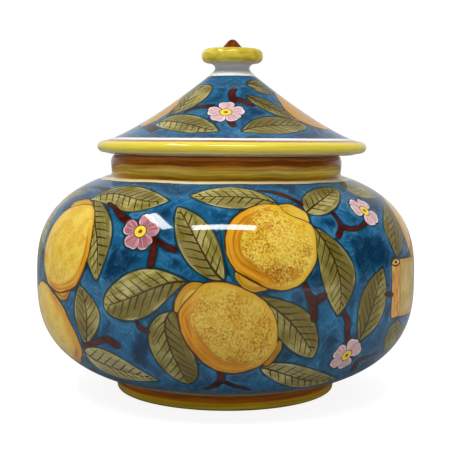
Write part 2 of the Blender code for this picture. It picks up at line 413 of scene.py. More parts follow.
# A twig or a stroke through a few points, a little uneven and round at its ends
def twigMotif(section, twig, turnedBy=0.0, shift=0.0, paint="twig"):
    points, widths, tone = twig
    tone = (tone + shift) % 1
    places = [seen(section, point) for point in points]
    axes = (places[0][0], places[0][1], 0.0)
    line = fromSheet(section, axes, np.array([[a * clay["spread"], run] for a, run in places]))
    along = np.linspace(0, len(line) - 1, 8 * (len(line) - 1) + 1)
    line = np.column_stack([np.interp(along, range(len(line)), line[:, k]) for k in (0, 1)])
    for _ in range(6):
        line[1:-1] = (line[:-2] + 2 * line[1:-1] + line[2:]) / 4
    half = np.interp(along / along[-1], (0, 1), widths) / 2
    half = half * (1 + 0.12 * np.sin(along * 2.1 + 10 * tone))
    slope = np.gradient(line, axis=0)
    slope /= np.hypot(*slope.T)[:, None]
    side = np.column_stack([-slope[:, 1], slope[:, 0]])

    def cap(at, ahead, size):
        turns = np.linspace(math.pi / 2, -math.pi / 2, 7)[1:-1, None]
        return at + size * (np.cos(turns) * ahead + np.sin(turns) * np.array([-ahead[1], ahead[0]]))

    outline = np.vstack([line + side * half[:, None], cap(line[-1], slope[-1], half[-1]),
                         (line - side * half[:, None])[::-1], cap(line[0], -slope[0], half[0])])
    axes = (axes[0] + turnedBy, axes[1], 0.0)
    return {"paint": paint, "axes": axes, "outline": resampled(outline[::-1], clay["outlineStep"]),
            "tone": (1.0, 1.0, tone)}


# A blossom: petals by their directions in degrees, and the eye over them
def petalMotifs(section, blossom, paint, turnedBy=0.0):
    centre, size, petals = blossom
    angle, run = seen(section, centre)
    made = []
    for i, degrees in enumerate(petals):
        turns = np.linspace(0, 2 * math.pi, 49)[:-1]
        reach = size * (0.58 + 0.42 * np.cos(turns))
        wide = size * 0.42 * np.sin(turns) * (1.0 + 0.24 * np.cos(turns))
        dent = 1 - 0.06 * np.exp(
            -(((turns + math.pi) % (2 * math.pi) - math.pi - 0.3 * math.sin(7 * i)) / 0.25) ** 2)
        axes = (angle + turnedBy, run, math.radians(degrees))
        made.append({"paint": paint, "axes": axes, "tone": (size, 1.0, (0.17 + 0.31 * i) % 1.0),
                     "outline": resampled(np.column_stack([reach * dent, wide]), 0.9)})
    turns = np.linspace(0, 2 * math.pi, 33)[:-1]
    made.append({"paint": "eye", "axes": (angle + turnedBy, run, 0.0), "tone": (size * 0.34, 1.0, 0.5),
                 "outline": size * 0.34 * np.column_stack([np.cos(turns), np.sin(turns)])})
    return made


# A hanging field between two upright rolls, each with a ring and a dot drawn at its upper end
def scrollMotifs(section):
    left, right = seen(section, scroll["edge"])[0], math.radians(scroll["to"])
    low, high, roll = seen(section, scroll["foot"])[1], seen(section, scroll["top"])[1], scroll["roll"]
    start, end = left * clay["spread"], right * clay["spread"]
    x = np.linspace(start + scroll["lap"] * roll, end - scroll["lap"] * roll, 40)
    wave = -scroll["hang"] * np.sin(np.linspace(0, 2 * math.pi, 40))
    field = np.vstack([np.column_stack([x, low + scroll["inset"][0] + wave]),
                       np.column_stack([x, high - scroll["inset"][1] + scroll["topHang"] * wave])[::-1]])
    drawn = [("scroll", 0.5, field)]
    turns = np.linspace(0, 2 * math.pi, 61)[:-1]
    out, up = np.cos(turns), np.sin(turns)
    for middle in (start + roll / 2, end - roll / 2):
        body = np.column_stack([middle + roll / 2 * np.sign(out) * np.abs(out) ** 0.4,
                                (low + high) / 2 + (high - low) / 2 * np.sign(up) * np.abs(up) ** 0.2])
        drawn.append(("roll", 0.5, body))
        for share in (1.0, 0.3):
            curl = np.column_stack([middle + roll / 2 * share * out,
                                    high + scroll["curl"] * (share * up - 1)])
            drawn.append(("roll", 1.0, curl))
    return [{"paint": paint, "axes": ((left + right) / 2, (low + high) / 2, 0.0), "sheet": outline,
             "tone": (high - low, 1.0, tone)} for paint, tone, outline in drawn]


belly = {
    # leaves: base, tip and one point on each edge, in pixels of the picture, then how full the two
    # ends are (less is fuller) and how thick the olive lies
    "leaves": [
        ((77, 189.5), (57, 208), (62.5, 194), (72, 206), 0.7, 0.7, 0.3),
        ((91, 200), (96, 283), (112.5, 228), (82, 232), 0.42, 0.85, 0.11),
        ((90, 200), (170, 201), (131, 186), (137, 212), 0.9, 0.9, 0.16),
        ((225, 280), (177.6, 206.7), (182.8, 256.5), (212, 229), 0.7, 0.75, 0.42),
        ((189, 282), (103.6, 306), (136, 270), (138, 320), 0.9, 0.5, 0.22),
        ((175.4, 311), (188.6, 384), (148, 340), (197.5, 365), 0.75, 0.6, 0.68),
        ((86, 345), (79, 284), (74.5, 312), (100, 316.6), 0.75, 0.9, 0.75),
        ((84.5, 350), (160.8, 381), (112, 353), (113, 376), 0.8, 0.95, 0.04),
        ((279, 205), (188.6, 195.7), (236, 187.3), (226, 208.5), 0.95, 0.95, 0.10),
        ((306.8, 212.5), (336, 188), (308, 192), (335, 209), 0.6, 0.6, 0.42),
        ((314, 227), (337.6, 316.6), (321, 276), (355, 270), 0.6, 0.85, 0.72),
        ((254, 293), (313, 357.5), (309.5, 314), (283.5, 344), 0.9, 0.6, 0.62),
        ((358, 341.5), (383, 266.8), (361, 297), (384, 311), 0.75, 0.9, 0.85),
        ((260.6, 369.4), (337.6, 378.2), (298, 365), (300, 387.5), 0.55, 0.95, 0.08),
        ((377, 197), (397, 257.5), (384.5, 232), (402, 232), 0.8, 0.85, 1.35),
        ((339, 183), (377, 198), (364, 184.5), (356, 195), 0.9, 0.9, 0.7),
        ((398, 319.5), (383.5, 353.5), (386.5, 333), (405, 333), 0.6, 0.9, 0.8),
    ],
    # twigs: points along one, its first and last width in mm, and where its unevenness starts
    "twigs": [
        (((108.7, 203), (115, 207), (121, 216), (128.5, 220.6)), (2.6, 4.0), 0.3),
        (((150.5, 266.5), (153, 255), (154.5, 241)), (3.6, 3.8), 0.6),
        (((154, 239.5), (161, 243), (168, 248), (175.6, 250)), (3.4, 2.6), 0.2),
        (((136, 320.5), (140, 328), (149, 332)), (2.4, 2.2), 0.5),
        (((83.5, 345.5), (97, 342), (108, 339), (116, 344.5)), (3.2, 5.0), 0.8),
        (((221, 372), (221.5, 381), (213, 387), (206, 389)), (4.8, 2.8), 0.4),
        (((223, 381.5), (238, 387), (251, 390)), (3.4, 1.8), 0.6),
        (((258.4, 190.5), (276, 192.7), (291, 198), (301.5, 204.5)), (2.0, 3.4), 0.5),
        (((332.4, 212.5), (340, 222), (341.5, 229), (338.5, 236)), (2.6, 3.4), 0.3),
        (((341.5, 227), (353, 229.5), (361, 227), (367, 221.5)), (3.0, 2.8), 0.7),
        (((305.3, 284.4), (309, 295), (313.5, 305), (313.8, 319)), (3.4, 5.2), 0.4),
        (((313, 302), (319, 299.5), (325.5, 294.6)), (4.6, 3.4), 0.6),
        (((343.4, 312.2), (348.5, 322), (347, 332), (348, 342)), (3.2, 3.8), 0.5),
        (((352.7, 371), (356, 361), (366, 357.5), (378, 352.5)), (4.8, 1.8), 0.6),
        (((385.2, 294), (392.5, 294.6)), (2.6, 2.6), 0.5),
        (((83, 187.6), (95, 186.5), (108, 189.5)), (2.0, 2.6), 0.5),
    ],
    # dark strokes of the ground's brush between two motifs
    "deep": [(((221.5, 229), (225.5, 243), (229.5, 258), (236, 278)), (2.6, 5.2), 0.4)],
    # lemon ends: outline, and how strong the brown is
    "ends": [
        ([(70.5, 209), (72.5, 204), (76.5, 201), (83, 199.5), (90, 199), (93, 204), (84, 212)], 0.4),
        ([(54.5, 291), (58, 297.5), (62, 300.8), (66.5, 300.3), (69.5, 295.5), (70, 288), (62, 286)], 0.8),
        ([(204, 284), (194.5, 281.5), (185.7, 283.7), (177.7, 293.2), (174, 302), (175.5, 313), (192, 308),
          (203, 296)], 0.4),
        ([(279.5, 340), (281.9, 345), (279, 354), (269.5, 366), (262, 366), (264, 352)], 0.8),
        ([(277, 206), (285, 203.9), (292, 204.5), (299.5, 208.1), (307.5, 214), (309.5, 224), (300, 226),
          (284, 218)], 0.1),
        ([(235, 272), (236.4, 281), (243, 288.5), (252.5, 292.3), (260, 291.9), (268, 289), (262, 280),
          (247, 270)], 0.5),
    ],
    # lemon bodies: outline, the shade's direction in degrees, how much sponge, and how the outline
    # goes on out of sight
    "lemons": [
        ([(42.7, 280.3), (49, 286.5), (55.5, 295), (64, 308), (70.6, 322.5), (76.5, 334.3), (81.2, 346),
          (83.1, 355), (81.6, 363)], 350, 0.14,
         [(-62, -55), (-70, -54), (-78, -48), (-84, -38), (-86, -27), (-84.5, -17), (-80, -9), (-74, -4),
          (-70, -1)]),
        ([(82, 204.3), (90.5, 204.5), (94.5, 208), (94.6, 220), (93, 234), (91, 247), (88, 258.5), (84, 271),
          (79.5, 282), (74, 288.5), (66, 292.3), (57.5, 292.8), (50, 287), (46, 277), (44, 262), (45.5, 247),
          (49.5, 233), (55.5, 221.5), (63, 213), (71, 207.6)], 312, 0.28, ()),
        ([(202.6, 283.7), (214, 281), (227, 282.5), (240, 286.3), (254, 293.6), (265.7, 302), (273.5, 312.3),
          (277.8, 324), (278.4, 335.7), (276, 347.5), (269, 359), (259, 367), (246, 372), (232, 373.8),
          (217, 371), (203, 363), (190.5, 351), (182.5, 338), (178, 325.5), (177, 313.7), (183.5, 303),
          (193, 293)], 222, 1.3, ()),
        ([(278.9, 205.2), (283.5, 210.5), (292, 215.5), (303, 219.5), (311.2, 224.3), (315.8, 233.5),
          (317.3, 246),
          (317, 258), (314, 267), (308.3, 277), (300.9, 284.4), (292, 288.8), (280.4, 290.5), (267, 288.8),
          (254, 283), (241, 275.6), (233, 269), (226.8, 258), (223.8, 245), (225, 233), (229.5, 222.5),
          (238, 213.3), (249.6, 206.7), (261.3, 204), (271, 203.8)], 188, 1.0, ()),
    ],
    # blossoms: middle, a petal's length in mm and the petals' directions in degrees
    "rose": ((140.2, 231.2), 12.0, (74, 15, -57, -121, 163)),
    "pale": [((364.6, 210.6), 11.4, (128, 48, -42, -100, 172)),
             ((346.6, 355.5), 11.8, (76, 24, -70, -141, 152))],
    "turnedBack": 197.0,   # degrees from the front group to the same group on the back
    # which of each kind are in the group on the back
    "onBack": {"leaves": (1, 14), "twigs": (0, 14), "ends": (2, 6), "lemons": (2, 4)},
}

scroll = {
    "edge": (391.8, 288), "top": (396, 257.5), "foot": (396, 317.5),    # left roll, in pixels
    "to": 134.0,           # degrees round to the right roll's far side
    "roll": 13.0,          # mm, a roll's width
    "curl": 2.7,           # half the height of the ring drawn at a roll's end
    "hang": 2.6,           # how far the field's lower edge sags, and rises again
    "topHang": 0.6,        # the upper edge's share of that
    "inset": (0.4, 0.8),   # mm between the field's ends and the rolls', below and above
    "lap": 0.6,            # of a roll's width that the field goes under it
}


# The same leaves, twigs and blossoms again, by their number and the degrees that each is turned to
# where the jar's sides and back would else be empty
again = {
    "leaves": [(8, 112), (9, 116), (7, 150), (13, 92), (5, 136), (5, 158), (8, -106), (2, 158), (1, -35),
               (10, -127)],
    "twigs": [(7, 112), (5, 104), (6, 104), (1, 146), (9, 78), (8, -134)],
    "pale": [(1, 50), (0, 66), (1, 112)],
    # degrees round, mm over the belt, length, width, tilt and the shade's direction
    "lemons": [(79.5, 34, 54, 50, 65, 205), (128, 44, 50, 44, 110, 300), (-101, -33, 56, 50, 80, 230)],
    "sponge": 0.6,         # how much sponge is on them
}


# The painting of the belly, from what is painted first to what lies on top
def bellyMotifs(section):
    motifs = [leafMotif(section, belly["leaves"][number], math.radians(turn))
              for number, turn in again["leaves"]]
    motifs += [twigMotif(section, belly["twigs"][number], math.radians(turn))
               for number, turn in again["twigs"]]
    for degrees, rise, *form in again["lemons"]:
        motifs += sideLemon(degrees, section["belt"] + rise, *form)
    for number, turn in again["pale"]:
        motifs += petalMotifs(section, belly["pale"][number], "pale", math.radians(turn))
    motifs += scrollMotifs(section)

    def group(kind, turn):
        return belly[kind][slice(*belly["onBack"][kind])] if turn else belly[kind]

    turns = (0.0, math.radians(belly["turnedBack"]))
    motifs += [twigMotif(section, stroke, turn, paint="deep") for turn in turns for stroke in belly["deep"]]
    motifs += [leafMotif(section, leaf, turn) for turn in turns for leaf in group("leaves", turn)]
    motifs += [twigMotif(section, twig, turn, turn) for turn in turns for twig in group("twigs", turn)]
    motifs += [lemonMotif(section, outline, turn, tone=tone, size=endSize)
               for turn in turns for outline, tone in group("ends", turn)]
    motifs += [lemonMotif(section, outline, turn, shade, tone, hidden)
               for turn in turns for outline, shade, tone, hidden in group("lemons", turn)]
    for turn in turns:
        motifs += petalMotifs(section, belly["rose"], "rose", turn)
        for blossom in belly["pale"]:
            motifs += petalMotifs(section, blossom, "pale", turn)
    return motifs


# The lid's painting, in the same terms. All but the lemons is there again on the other half
tent = {
    "leaves": [
        ((168.3, 115.5), (210.5, 85), (187.5, 92), (200, 102.5), 0.9, 0.5, 0.5),
        ((154.8, 125), (219.3, 131), (187, 114.3), (184, 132.3), 0.5, 0.85, 0.42),
        ((246.3, 84.1), (273.1, 94), (257.5, 80.6), (261, 92.9), 0.9, 0.9, 1.4),
        ((246.3, 95.3), (303, 122), (272, 102.6), (268, 111.5), 0.8, 0.9, 1.3),
        ((241.2, 131.8), (306.9, 127), (267, 116.6), (283, 133.7), 0.9, 0.5, 1.05),
    ],
    "twigs": [
        (((234.5, 89), (231, 94), (233.5, 101)), (3.6, 4.2), 0.4),
        (((236, 99), (245, 102), (252.5, 105.5)), (4.0, 3.2), 0.6),
        (((186, 111.5), (198, 107), (212, 106)), (1.6, 3.6), 0.5),
        (((229, 119), (231, 122.5), (233.3, 125.3)), (3.6, 3.8), 0.5),
        (((142, 128), (149, 126), (153.5, 131)), (2.4, 4.0), 0.5),
        (((315, 127), (318.5, 129), (322, 133)), (4.0, 2.4), 0.5),
    ],
    "blossom": ((225.7, 112.1), 12.2, (90, 12, -50, -124, 172)),
    # lemons: the side in sight, and the shade's direction
    "lemons": [
        ([(141, 127), (145, 126.2), (153.9, 121.7), (161.1, 119), (166.4, 115.5), (172.7, 110.1),
          (178, 105.6), (182.5, 101.2), (184.7, 95.4)], 0),
        ([(274.1, 92.5), (275.5, 96.2), (277.8, 100.8), (281.5, 106.4), (287, 112.9), (293.5, 117.5),
          (299.1, 121.2), (305.6, 124), (313, 127.2), (322.2, 129.5), (329.6, 130.4)], 200),
    ],
}


def tentMotifs(section):
    turns = (0.0, math.pi)
    motifs = [leafMotif(section, leaf, turn) for turn in turns for leaf in tent["leaves"]]
    motifs += [twigMotif(section, twig, turn, turn) for turn in turns for twig in tent["twigs"]]
    motifs += [lemonMotif(section, outline, shade=shade, tone=0.0, closed=False)
               for outline, shade in tent["lemons"]]
    for turn in turns:
        motifs += petalMotifs(section, tent["blossom"], "pale", turn)
    return motifs


# Keeps the part of a polygon on one side of a line across the sheet
def clipped(points, limit, keepLow):
    inside = points[:, 0] <= limit if keepLow else points[:, 0] >= limit
    kept = []
    for i in range(len(points)):
        here, before = points[i], points[i - 1]
        if inside[i] != inside[i - 1]:
            share = (limit - before[0]) / (here[0] - before[0])
            kept.append((limit, before[1] + share * (here[1] - before[1])))
        if inside[i]:
            kept.append(tuple(here))
    return np.array(kept)


def distanceToLoop(points, loop):
    start, end = loop, np.roll(loop, -1, axis=0)
    way = end - start
    best = np.full(len(points), 1e9)
    for a, w in zip(start, way):
        share = np.clip(((points - a) @ w) / max(w @ w, 1e-12), 0, 1)
        best = np.minimum(best, np.hypot(*(points - a - share[:, None] * w).T))
    return best


# Where points of the sheet come to lie on the piece
def onPiece(section, sheet):
    angle, r = sheet[:, 0] / clay["spread"], radiusAt(section, sheet[:, 1])
    z = np.interp(sheet[:, 1], section["run"], section["z"])
    return np.column_stack([r * np.sin(angle), -r * np.cos(angle), z])


def treeOf(points):
    tree = KDTree(len(points))
    for i, point in enumerate(points):
        tree.insert(point, i)
    tree.balance()
    return tree


# Runs of the plain rows, closer together where the section turns
def rowsBetween(section, low, high):
    part = (section["run"] > low) & (section["run"] < high)
    run = np.concatenate([[low], section["run"][part], [high]])
    lean = np.unwrap(np.arctan2(np.interp(run, section["run"], section["up"]),
                                np.interp(run, section["run"], section["out"])))
    density = np.maximum(1 / clay["rowStep"], np.abs(np.gradient(lean, run)) / math.radians(clay["rowTurn"]))
    total = np.concatenate([[0], np.cumsum((density[1:] + density[:-1]) / 2 * np.diff(run))])
    return np.interp(np.linspace(0, total[-1], int(math.ceil(total[-1])) + 1), total, run)


def plainZone(section, low, high, paintOf):
    rows = rowsBetween(section, low, high)
    columns = np.linspace(-halfTurn, halfTurn, clay["columns"] + 1)
    points = np.array([(x, y) for y in rows for x in columns])
    wide = clay["columns"] + 1
    faces, paints = [], []
    for j in range(len(rows) - 1):
        paint = paintOf((rows[j] + rows[j + 1]) / 2)
        for i in range(clay["columns"]):
            a = j * wide + i
            faces.append((a, a + 1, a + wide + 1, a + wide))
            paints.append(paint)
    return points, faces, paints


# The motifs' outlines on the sheet, cut where its two sides meet at the back, the motif of each one,
# and rings of points along both sides of every outline
def drawnOutlines(section, motifs):
    low, high = section["zone"]
    polygons, owners, dense, rings = [], [], [], []
    for number, motif in enumerate(motifs):
        if "sheet" in motif:
            shape = motif["sheet"]
            outline = fromSheet(section, motif["axes"], shape)
        else:
            outline = motif["outline"]
            shape = toSheet(section, motif["axes"], outline)
        following = np.roll(outline, -1, axis=0)
        if np.sum(outline[:, 0] * following[:, 1] - following[:, 0] * outline[:, 1]) < 0:
            outline, shape = outline[::-1], shape[::-1]
        slope = np.roll(outline, -1, axis=0) - np.roll(outline, 1, axis=0)
        slope /= np.maximum(np.hypot(*slope.T), 1e-9)[:, None]
        inward = np.column_stack([-slope[:, 1], slope[:, 0]])
        for way in (clay["ring"], -clay["ring"]):
            rings.append(toSheet(section, motif["axes"], outline + way * inward))
        shape = shape.copy()
        shape[:, 0] += round(-shape[:, 0].mean() / (2 * halfTurn)) * 2 * halfTurn
        shape[:, 1] = np.clip(shape[:, 1], low + clay["margin"], high - clay["margin"])
        motif["drawn"] = shape
        for copy in (-2 * halfTurn, 0, 2 * halfTurn):
            part = shape + (copy, 0)
            if part[:, 0].max() > -halfTurn and part[:, 0].min() < halfTurn:
                if part[:, 0].max() > halfTurn:
                    part = clipped(part, halfTurn, True)
                if len(part) > 2 and part[:, 0].min() < -halfTurn:
                    part = clipped(part, -halfTurn, False)
                if len(part) > 2:
                    polygons.append(part)
                    owners.append(number)
        dense.append(resampled(shape, 0.5))    # mm, close enough to measure distances by
    return polygons, owners, treeOf(onPiece(section, np.vstack(dense))), np.vstack(rings)


# Loose points between the outlines: the rings, thinned out, and an even grid of triangles
def loosePoints(section, rings, outlinePoints):
    low, high = section["zone"]
    grid, rowCount = [], int((high - low) / (clay["grain"] * 0.87))    # an even triangle's height
    for j in range(1, rowCount):
        y = low + (high - low) * j / rowCount
        count = int(2 * math.pi * radiusAt(section, y) / clay["grain"])
        x = -halfTurn + 2 * halfTurn * (np.arange(count) + 0.25 + 0.5 * (j % 2)) / count
        grid.append(np.column_stack([x, np.full(count, y)]))
    rings[:, 0] = (rings[:, 0] + halfTurn) % (2 * halfTurn) - halfTurn
    rings = rings[(rings[:, 1] > low + clay["clear"]) & (rings[:, 1] < high - clay["clear"])]

    # Those that keep this share of a ring's width from every outline
    def clearOf(points, share):
        points = points[np.abs(points[:, 0]) < halfTurn - clay["seam"]]
        return points[[outlinePoints.find(p)[2] > share * clay["ring"] for p in onPiece(section, points)]]

    thin, taken = [], set()
    for point in clearOf(rings, 0.8):
        cell = tuple(int(value / clay["cell"]) for value in point)
        if cell not in taken:
            taken.add(cell)
            thin.append(point)
    return thin + list(clearOf(np.vstack(grid), 1.9))


# The painted zone: one triangle mesh in which every motif's outline is an edge, and what each
# corner knows of its motif
def paintedZone(section, motifs, paintNames):
    low, high = section["zone"]
    polygons, owners, outlinePoints, rings = drawnOutlines(section, motifs)
    columns = np.linspace(-halfTurn, halfTurn, clay["columns"] + 1)
    sides = np.linspace(low, high, int((high - low) / clay["grain"]) + 1)
    points = [(x, low) for x in columns] + [(halfTurn, y) for y in sides[1:-1]]
    points += [(x, high) for x in columns[::-1]] + [(-halfTurn, y) for y in sides[-2:0:-1]]
    edges = [(i, (i + 1) % len(points)) for i in range(len(points))]
    faces = []
    for polygon in polygons:
        faces.append(list(range(len(points), len(points) + len(polygon))))
        points += [tuple(p) for p in polygon]
    points += [tuple(p) for p in loosePoints(section, rings, outlinePoints)]
    result = geometry.delaunay_2d_cdt([Vector(p) for p in points], edges, faces, 0, 1e-4, True)
    sheet = np.array([tuple(v) for v in result[0]])
    triangles = np.array(result[2])
    one, other = (sheet[triangles[:, k]] - sheet[triangles[:, 0]] for k in (1, 2))
    if (one[:, 0] * other[:, 1] - one[:, 1] * other[:, 0]).mean() < 0:
        triangles = triangles[:, ::-1]
    top = np.array([owners[max(ids)] if ids else -1 for ids in result[5]])
    near = np.array([outlinePoints.find(p)[2] for p in onPiece(section, sheet)])
    near = np.minimum(near, clay["endNear"] + np.minimum(sheet[:, 1] - low, high - sheet[:, 1]))

    place, tone = np.zeros((2, len(triangles), 3, 3))
    for number, motif in enumerate(motifs):
        own = top == number
        if not own.any():
            continue
        corners = fromSheet(section, motif["axes"], sheet[triangles[own]].reshape(-1, 2))
        edge = distanceToLoop(corners, fromSheet(section, motif["axes"], motif["drawn"]))
        if "rib" in motif:
            corners[:, 1] -= np.interp(corners[:, 0], *motif["rib"])
        if "centre" in motif:
            corners -= motif["centre"]
        place[own] = np.column_stack([corners, edge]).reshape(-1, 3, 3)
        tone[own] = motif["tone"]
    paints = [paintNames.index(motifs[t]["paint"] if t >= 0 else "ground") for t in top]
    return sheet, triangles, paints, place, tone, near


# One sheet for a whole piece, with what the glazes read: run, near, place, tone and paint
def sheetMesh(name, section, zones, motifs, paintNames):
    points, faces, paints, places, tones, nears = [], [], [], [], [], []
    offset = 0
    for zone in zones:
        if zone == "painted":
            sheet, triangles, paint, place, tone, near = paintedZone(section, motifs, paintNames)
            faces += [tuple(t) for t in (triangles + offset).tolist()]
            places.append(place.reshape(-1, 3))
            tones.append(tone.reshape(-1, 3))
        else:
            sheet, quads, paint = plainZone(section, *zone)
            faces += [tuple(i + offset for i in quad) for quad in quads]
            places.append(np.zeros((4 * len(quads), 3)))
            tones.append(np.zeros((4 * len(quads), 3)))
            near = np.full(len(sheet), 30.0)
        points.append(sheet)
        paints += paint
        nears.append(near)
        offset += len(sheet)
    points = np.vstack(points)
    mesh = bpy.data.meshes.new(name)
    mesh.from_pydata(np.column_stack([points, np.zeros(len(points))]).tolist(), [], faces)
    for label, kind, domain, field, values in (
            ("run", "FLOAT", "POINT", "value", points[:, 1]),
            ("near", "FLOAT", "POINT", "value", np.concatenate(nears)),
            ("place", "FLOAT_VECTOR", "CORNER", "vector", np.vstack(places)),
            ("tone", "FLOAT_VECTOR", "CORNER", "vector", np.vstack(tones)),
            ("paint", "INT", "FACE", "value", paints)):
        data = mesh.attributes.new(label, kind, domain).data
        data.foreach_set(field, np.asarray(values, np.int32 if kind == "INT" else np.float32).ravel())
    return mesh


# Gives a socket a value, or a link from another socket or from a node's first one
def fill(tree, socket, value):
    if isinstance(value, bpy.types.Node):
        value = next(s for s in value.outputs if s.enabled and not s.is_unavailable)
    if isinstance(value, bpy.types.NodeSocket):
        tree.links.new(value, socket)
    else:
        socket.default_value = value


# Adds a node. A plain string is its operation or data type, other plain values fill its open
# inputs in order, and names set an input or a setting
def addNode(tree, kind, *values, **settings):
    node = tree.nodes.new(kind if "Node" in kind else "ShaderNode" + kind)
    if values and isinstance(values[0], str):
        setattr(node, "operation" if hasattr(node, "operation") else "data_type", values[0])
        values = values[1:]
    for name, value in settings.items():
        if name[0].islower():
            setattr(node, name, value)
    sockets = [s for s in node.inputs if s.enabled and not s.is_unavailable]
    for socket, value in zip(sockets, values):
        fill(tree, socket, value)
    for name, value in settings.items():
        if name[0].isupper():
            fill(tree, next(s for s in sockets if s.name == name), value)
    return node


# Wraps a flat sheet round a section: x is the way round, y the run, both in mm
def wrapTree(paintMaterials):
    tree = bpy.data.node_groups.new("wrapOnSection", "GeometryNodeTree")
    face, add = tree.interface, partial(addNode, tree)
    face.new_socket("Sheet", in_out="INPUT", socket_type="NodeSocketGeometry")
    face.new_socket("Section", in_out="INPUT", socket_type="NodeSocketObject")
    for label, value in (("Spread", clay["spread"]), ("Slip", 0.0), ("Weld", 0.00001)):
        face.new_socket(label, in_out="INPUT", socket_type="NodeSocketFloat").default_value = value
    face.new_socket("Piece", in_out="OUTPUT", socket_type="NodeSocketGeometry")
    given = add("NodeGroupInput").outputs
    curve = add("GeometryNodeMeshToCurve",
                add("GeometryNodeObjectInfo", given["Section"]).outputs["Geometry"])
    flat = add("SeparateXYZ", add("GeometryNodeInputPosition")).outputs
    length = add("Math", "MULTIPLY", flat["Y"], 0.001)
    sample = add("GeometryNodeSampleCurve", curve, Length=length, mode="LENGTH")
    point = add("SeparateXYZ", sample.outputs["Position"]).outputs
    angle = add("Math", "DIVIDE", flat["X"], given["Spread"])
    across, inwards = (add("Math", "MULTIPLY", point["X"], add("Math", way, angle))
                       for way in ("SINE", "COSINE"))
    place = add("CombineXYZ", add("Math", "ADD", across, given["Slip"]),
                add("Math", "MULTIPLY", inwards, -1.0), point["Z"])
    piece = add("GeometryNodeSetPosition", given["Sheet"], Position=place)
    piece = add("GeometryNodeMergeByDistance", piece, Distance=given["Weld"])
    piece = add("GeometryNodeRealizeInstances", add("GeometryNodeSetShadeSmooth", piece))
    paint = add("GeometryNodeInputNamedAttribute", Name="paint", data_type="INT")
    for number, material in enumerate(paintMaterials):
        same = add("FunctionNodeCompare", paint, number, data_type="INT", operation="EQUAL")
        piece = add("GeometryNodeSetMaterial", piece, same, material)
    add("NodeGroupOutput", piece)
    return tree


def wrappedPiece(name, section, sheet, paintMaterials):
    line = bpy.data.meshes.new("section")
    points = [(r / 1000, 0.0, z / 1000) for r, z in zip(section["r"], section["z"])]
    line.from_pydata(points, [(i, i + 1) for i in range(len(points) - 1)], [])
    guide = bpy.data.objects.new("section", line)
    flat = bpy.data.objects.new("flat", sheet)
    for thing in (guide, flat):
        bpy.context.scene.collection.objects.link(thing)
    tree = wrapTree(paintMaterials)
    modifier = flat.modifiers.new("wrap", "NODES")
    modifier.node_group = tree
    values = {"Section": guide, "Slip": section["slip"] / 1000}
    for item in tree.interface.items_tree:
        if item.item_type == "SOCKET" and item.in_out == "INPUT" and item.name in values:
            modifier[item.identifier] = values[item.name]
    bpy.context.view_layer.update()
    graph = bpy.context.evaluated_depsgraph_get()
    mesh = bpy.data.meshes.new_from_object(flat.evaluated_get(graph), preserve_all_data_layers=True,
                                           depsgraph=graph)
    mesh.name = name
    for thing in (flat, guide):
        bpy.data.objects.remove(thing)
    bpy.data.node_groups.remove(tree)

    # The glaze shades by the section itself, not by the triangles
    count = len(mesh.vertices)
    place, run = np.zeros(3 * count, np.float32), np.zeros(count, np.float32)
    mesh.vertices.foreach_get("co", place)
    mesh.attributes["run"].data.foreach_get("value", run)
    place = place.reshape(-1, 3)
    angle = np.arctan2(place[:, 0] - section["slip"] / 1000, -place[:, 1])
    out, up = (np.interp(run, section["run"], section[k]) for k in ("out", "up"))
    normals = np.column_stack([out * np.sin(angle), -out * np.cos(angle), up])
    mesh.normals_split_custom_set_from_vertices(normals.tolist())
    piece = bpy.data.objects.new(name, mesh)
    bpy.context.scene.collection.objects.link(piece)
    print("%s: %d points, %d faces, %d materials" % (name, count, len(mesh.polygons), len(mesh.materials)))
    return piece


def linear(colour):
    channels = [int(colour[i:i + 2], 16) / 255 for i in (1, 3, 5)]
    return tuple(c / 12.92 if c <= 0.04045 else ((c + 0.055) / 1.055) ** 2.4 for c in channels) + (1.0,)


# Lays colours over one another. A layer: its tint, a value, where that value leaves the tint out
# and where it is in full, how much of it then covers, and what else its cover is multiplied by
def layered(add, base, *layers):
    colour = linear(base)
    for tint, value, none, full, most, *shares in layers:
        cover = add("MapRange", value, none, full, 0.0, most)
        for share in shares:
            cover = add("Math", "MULTIPLY", cover, share)
        colour = add("Mix", "RGBA", cover, colour, linear(tint) if isinstance(tint, str) else tint)
    return colour


# What a painted face knows of its motif: along, across, distance to its edge, then the motif's
# length or size, its width or the way of its shade, and how thick its paint lies
def motifSockets(add):
    split = [add("SeparateXYZ", add("Attribute", attribute_name=name).outputs["Vector"])
             for name in ("place", "tone")]
    return [socket for node in split for socket in node.outputs]


# Lead-bright glaze: fired glass over the painting, smooth but never quite level
glaze = {"roughness": 0.06, "ior": 1.5, "rippleSize": 9.0, "rippleDepth": 0.00012, "rippleStrength": 0.25}


def glazed(name, colourOf, roughness=glaze["roughness"]):
    material = bpy.data.materials.new(name)
    material.use_nodes = True
    tree = material.node_tree
    add, shader = partial(addNode, tree), tree.nodes["Principled BSDF"]
    place = add("TexCoord").outputs["Object"]
    ripple = add("TexNoise", place, Scale=1000 / glaze["rippleSize"], Detail=1.0)
    bump = add("Bump", Strength=glaze["rippleStrength"], Distance=glaze["rippleDepth"], Height=ripple)
    for socket, value in (("Base Color", colourOf(add, place)), ("Roughness", roughness),
                          ("IOR", glaze["ior"]), ("Normal", bump)):
        fill(tree, shader.inputs[socket], value)
    return material


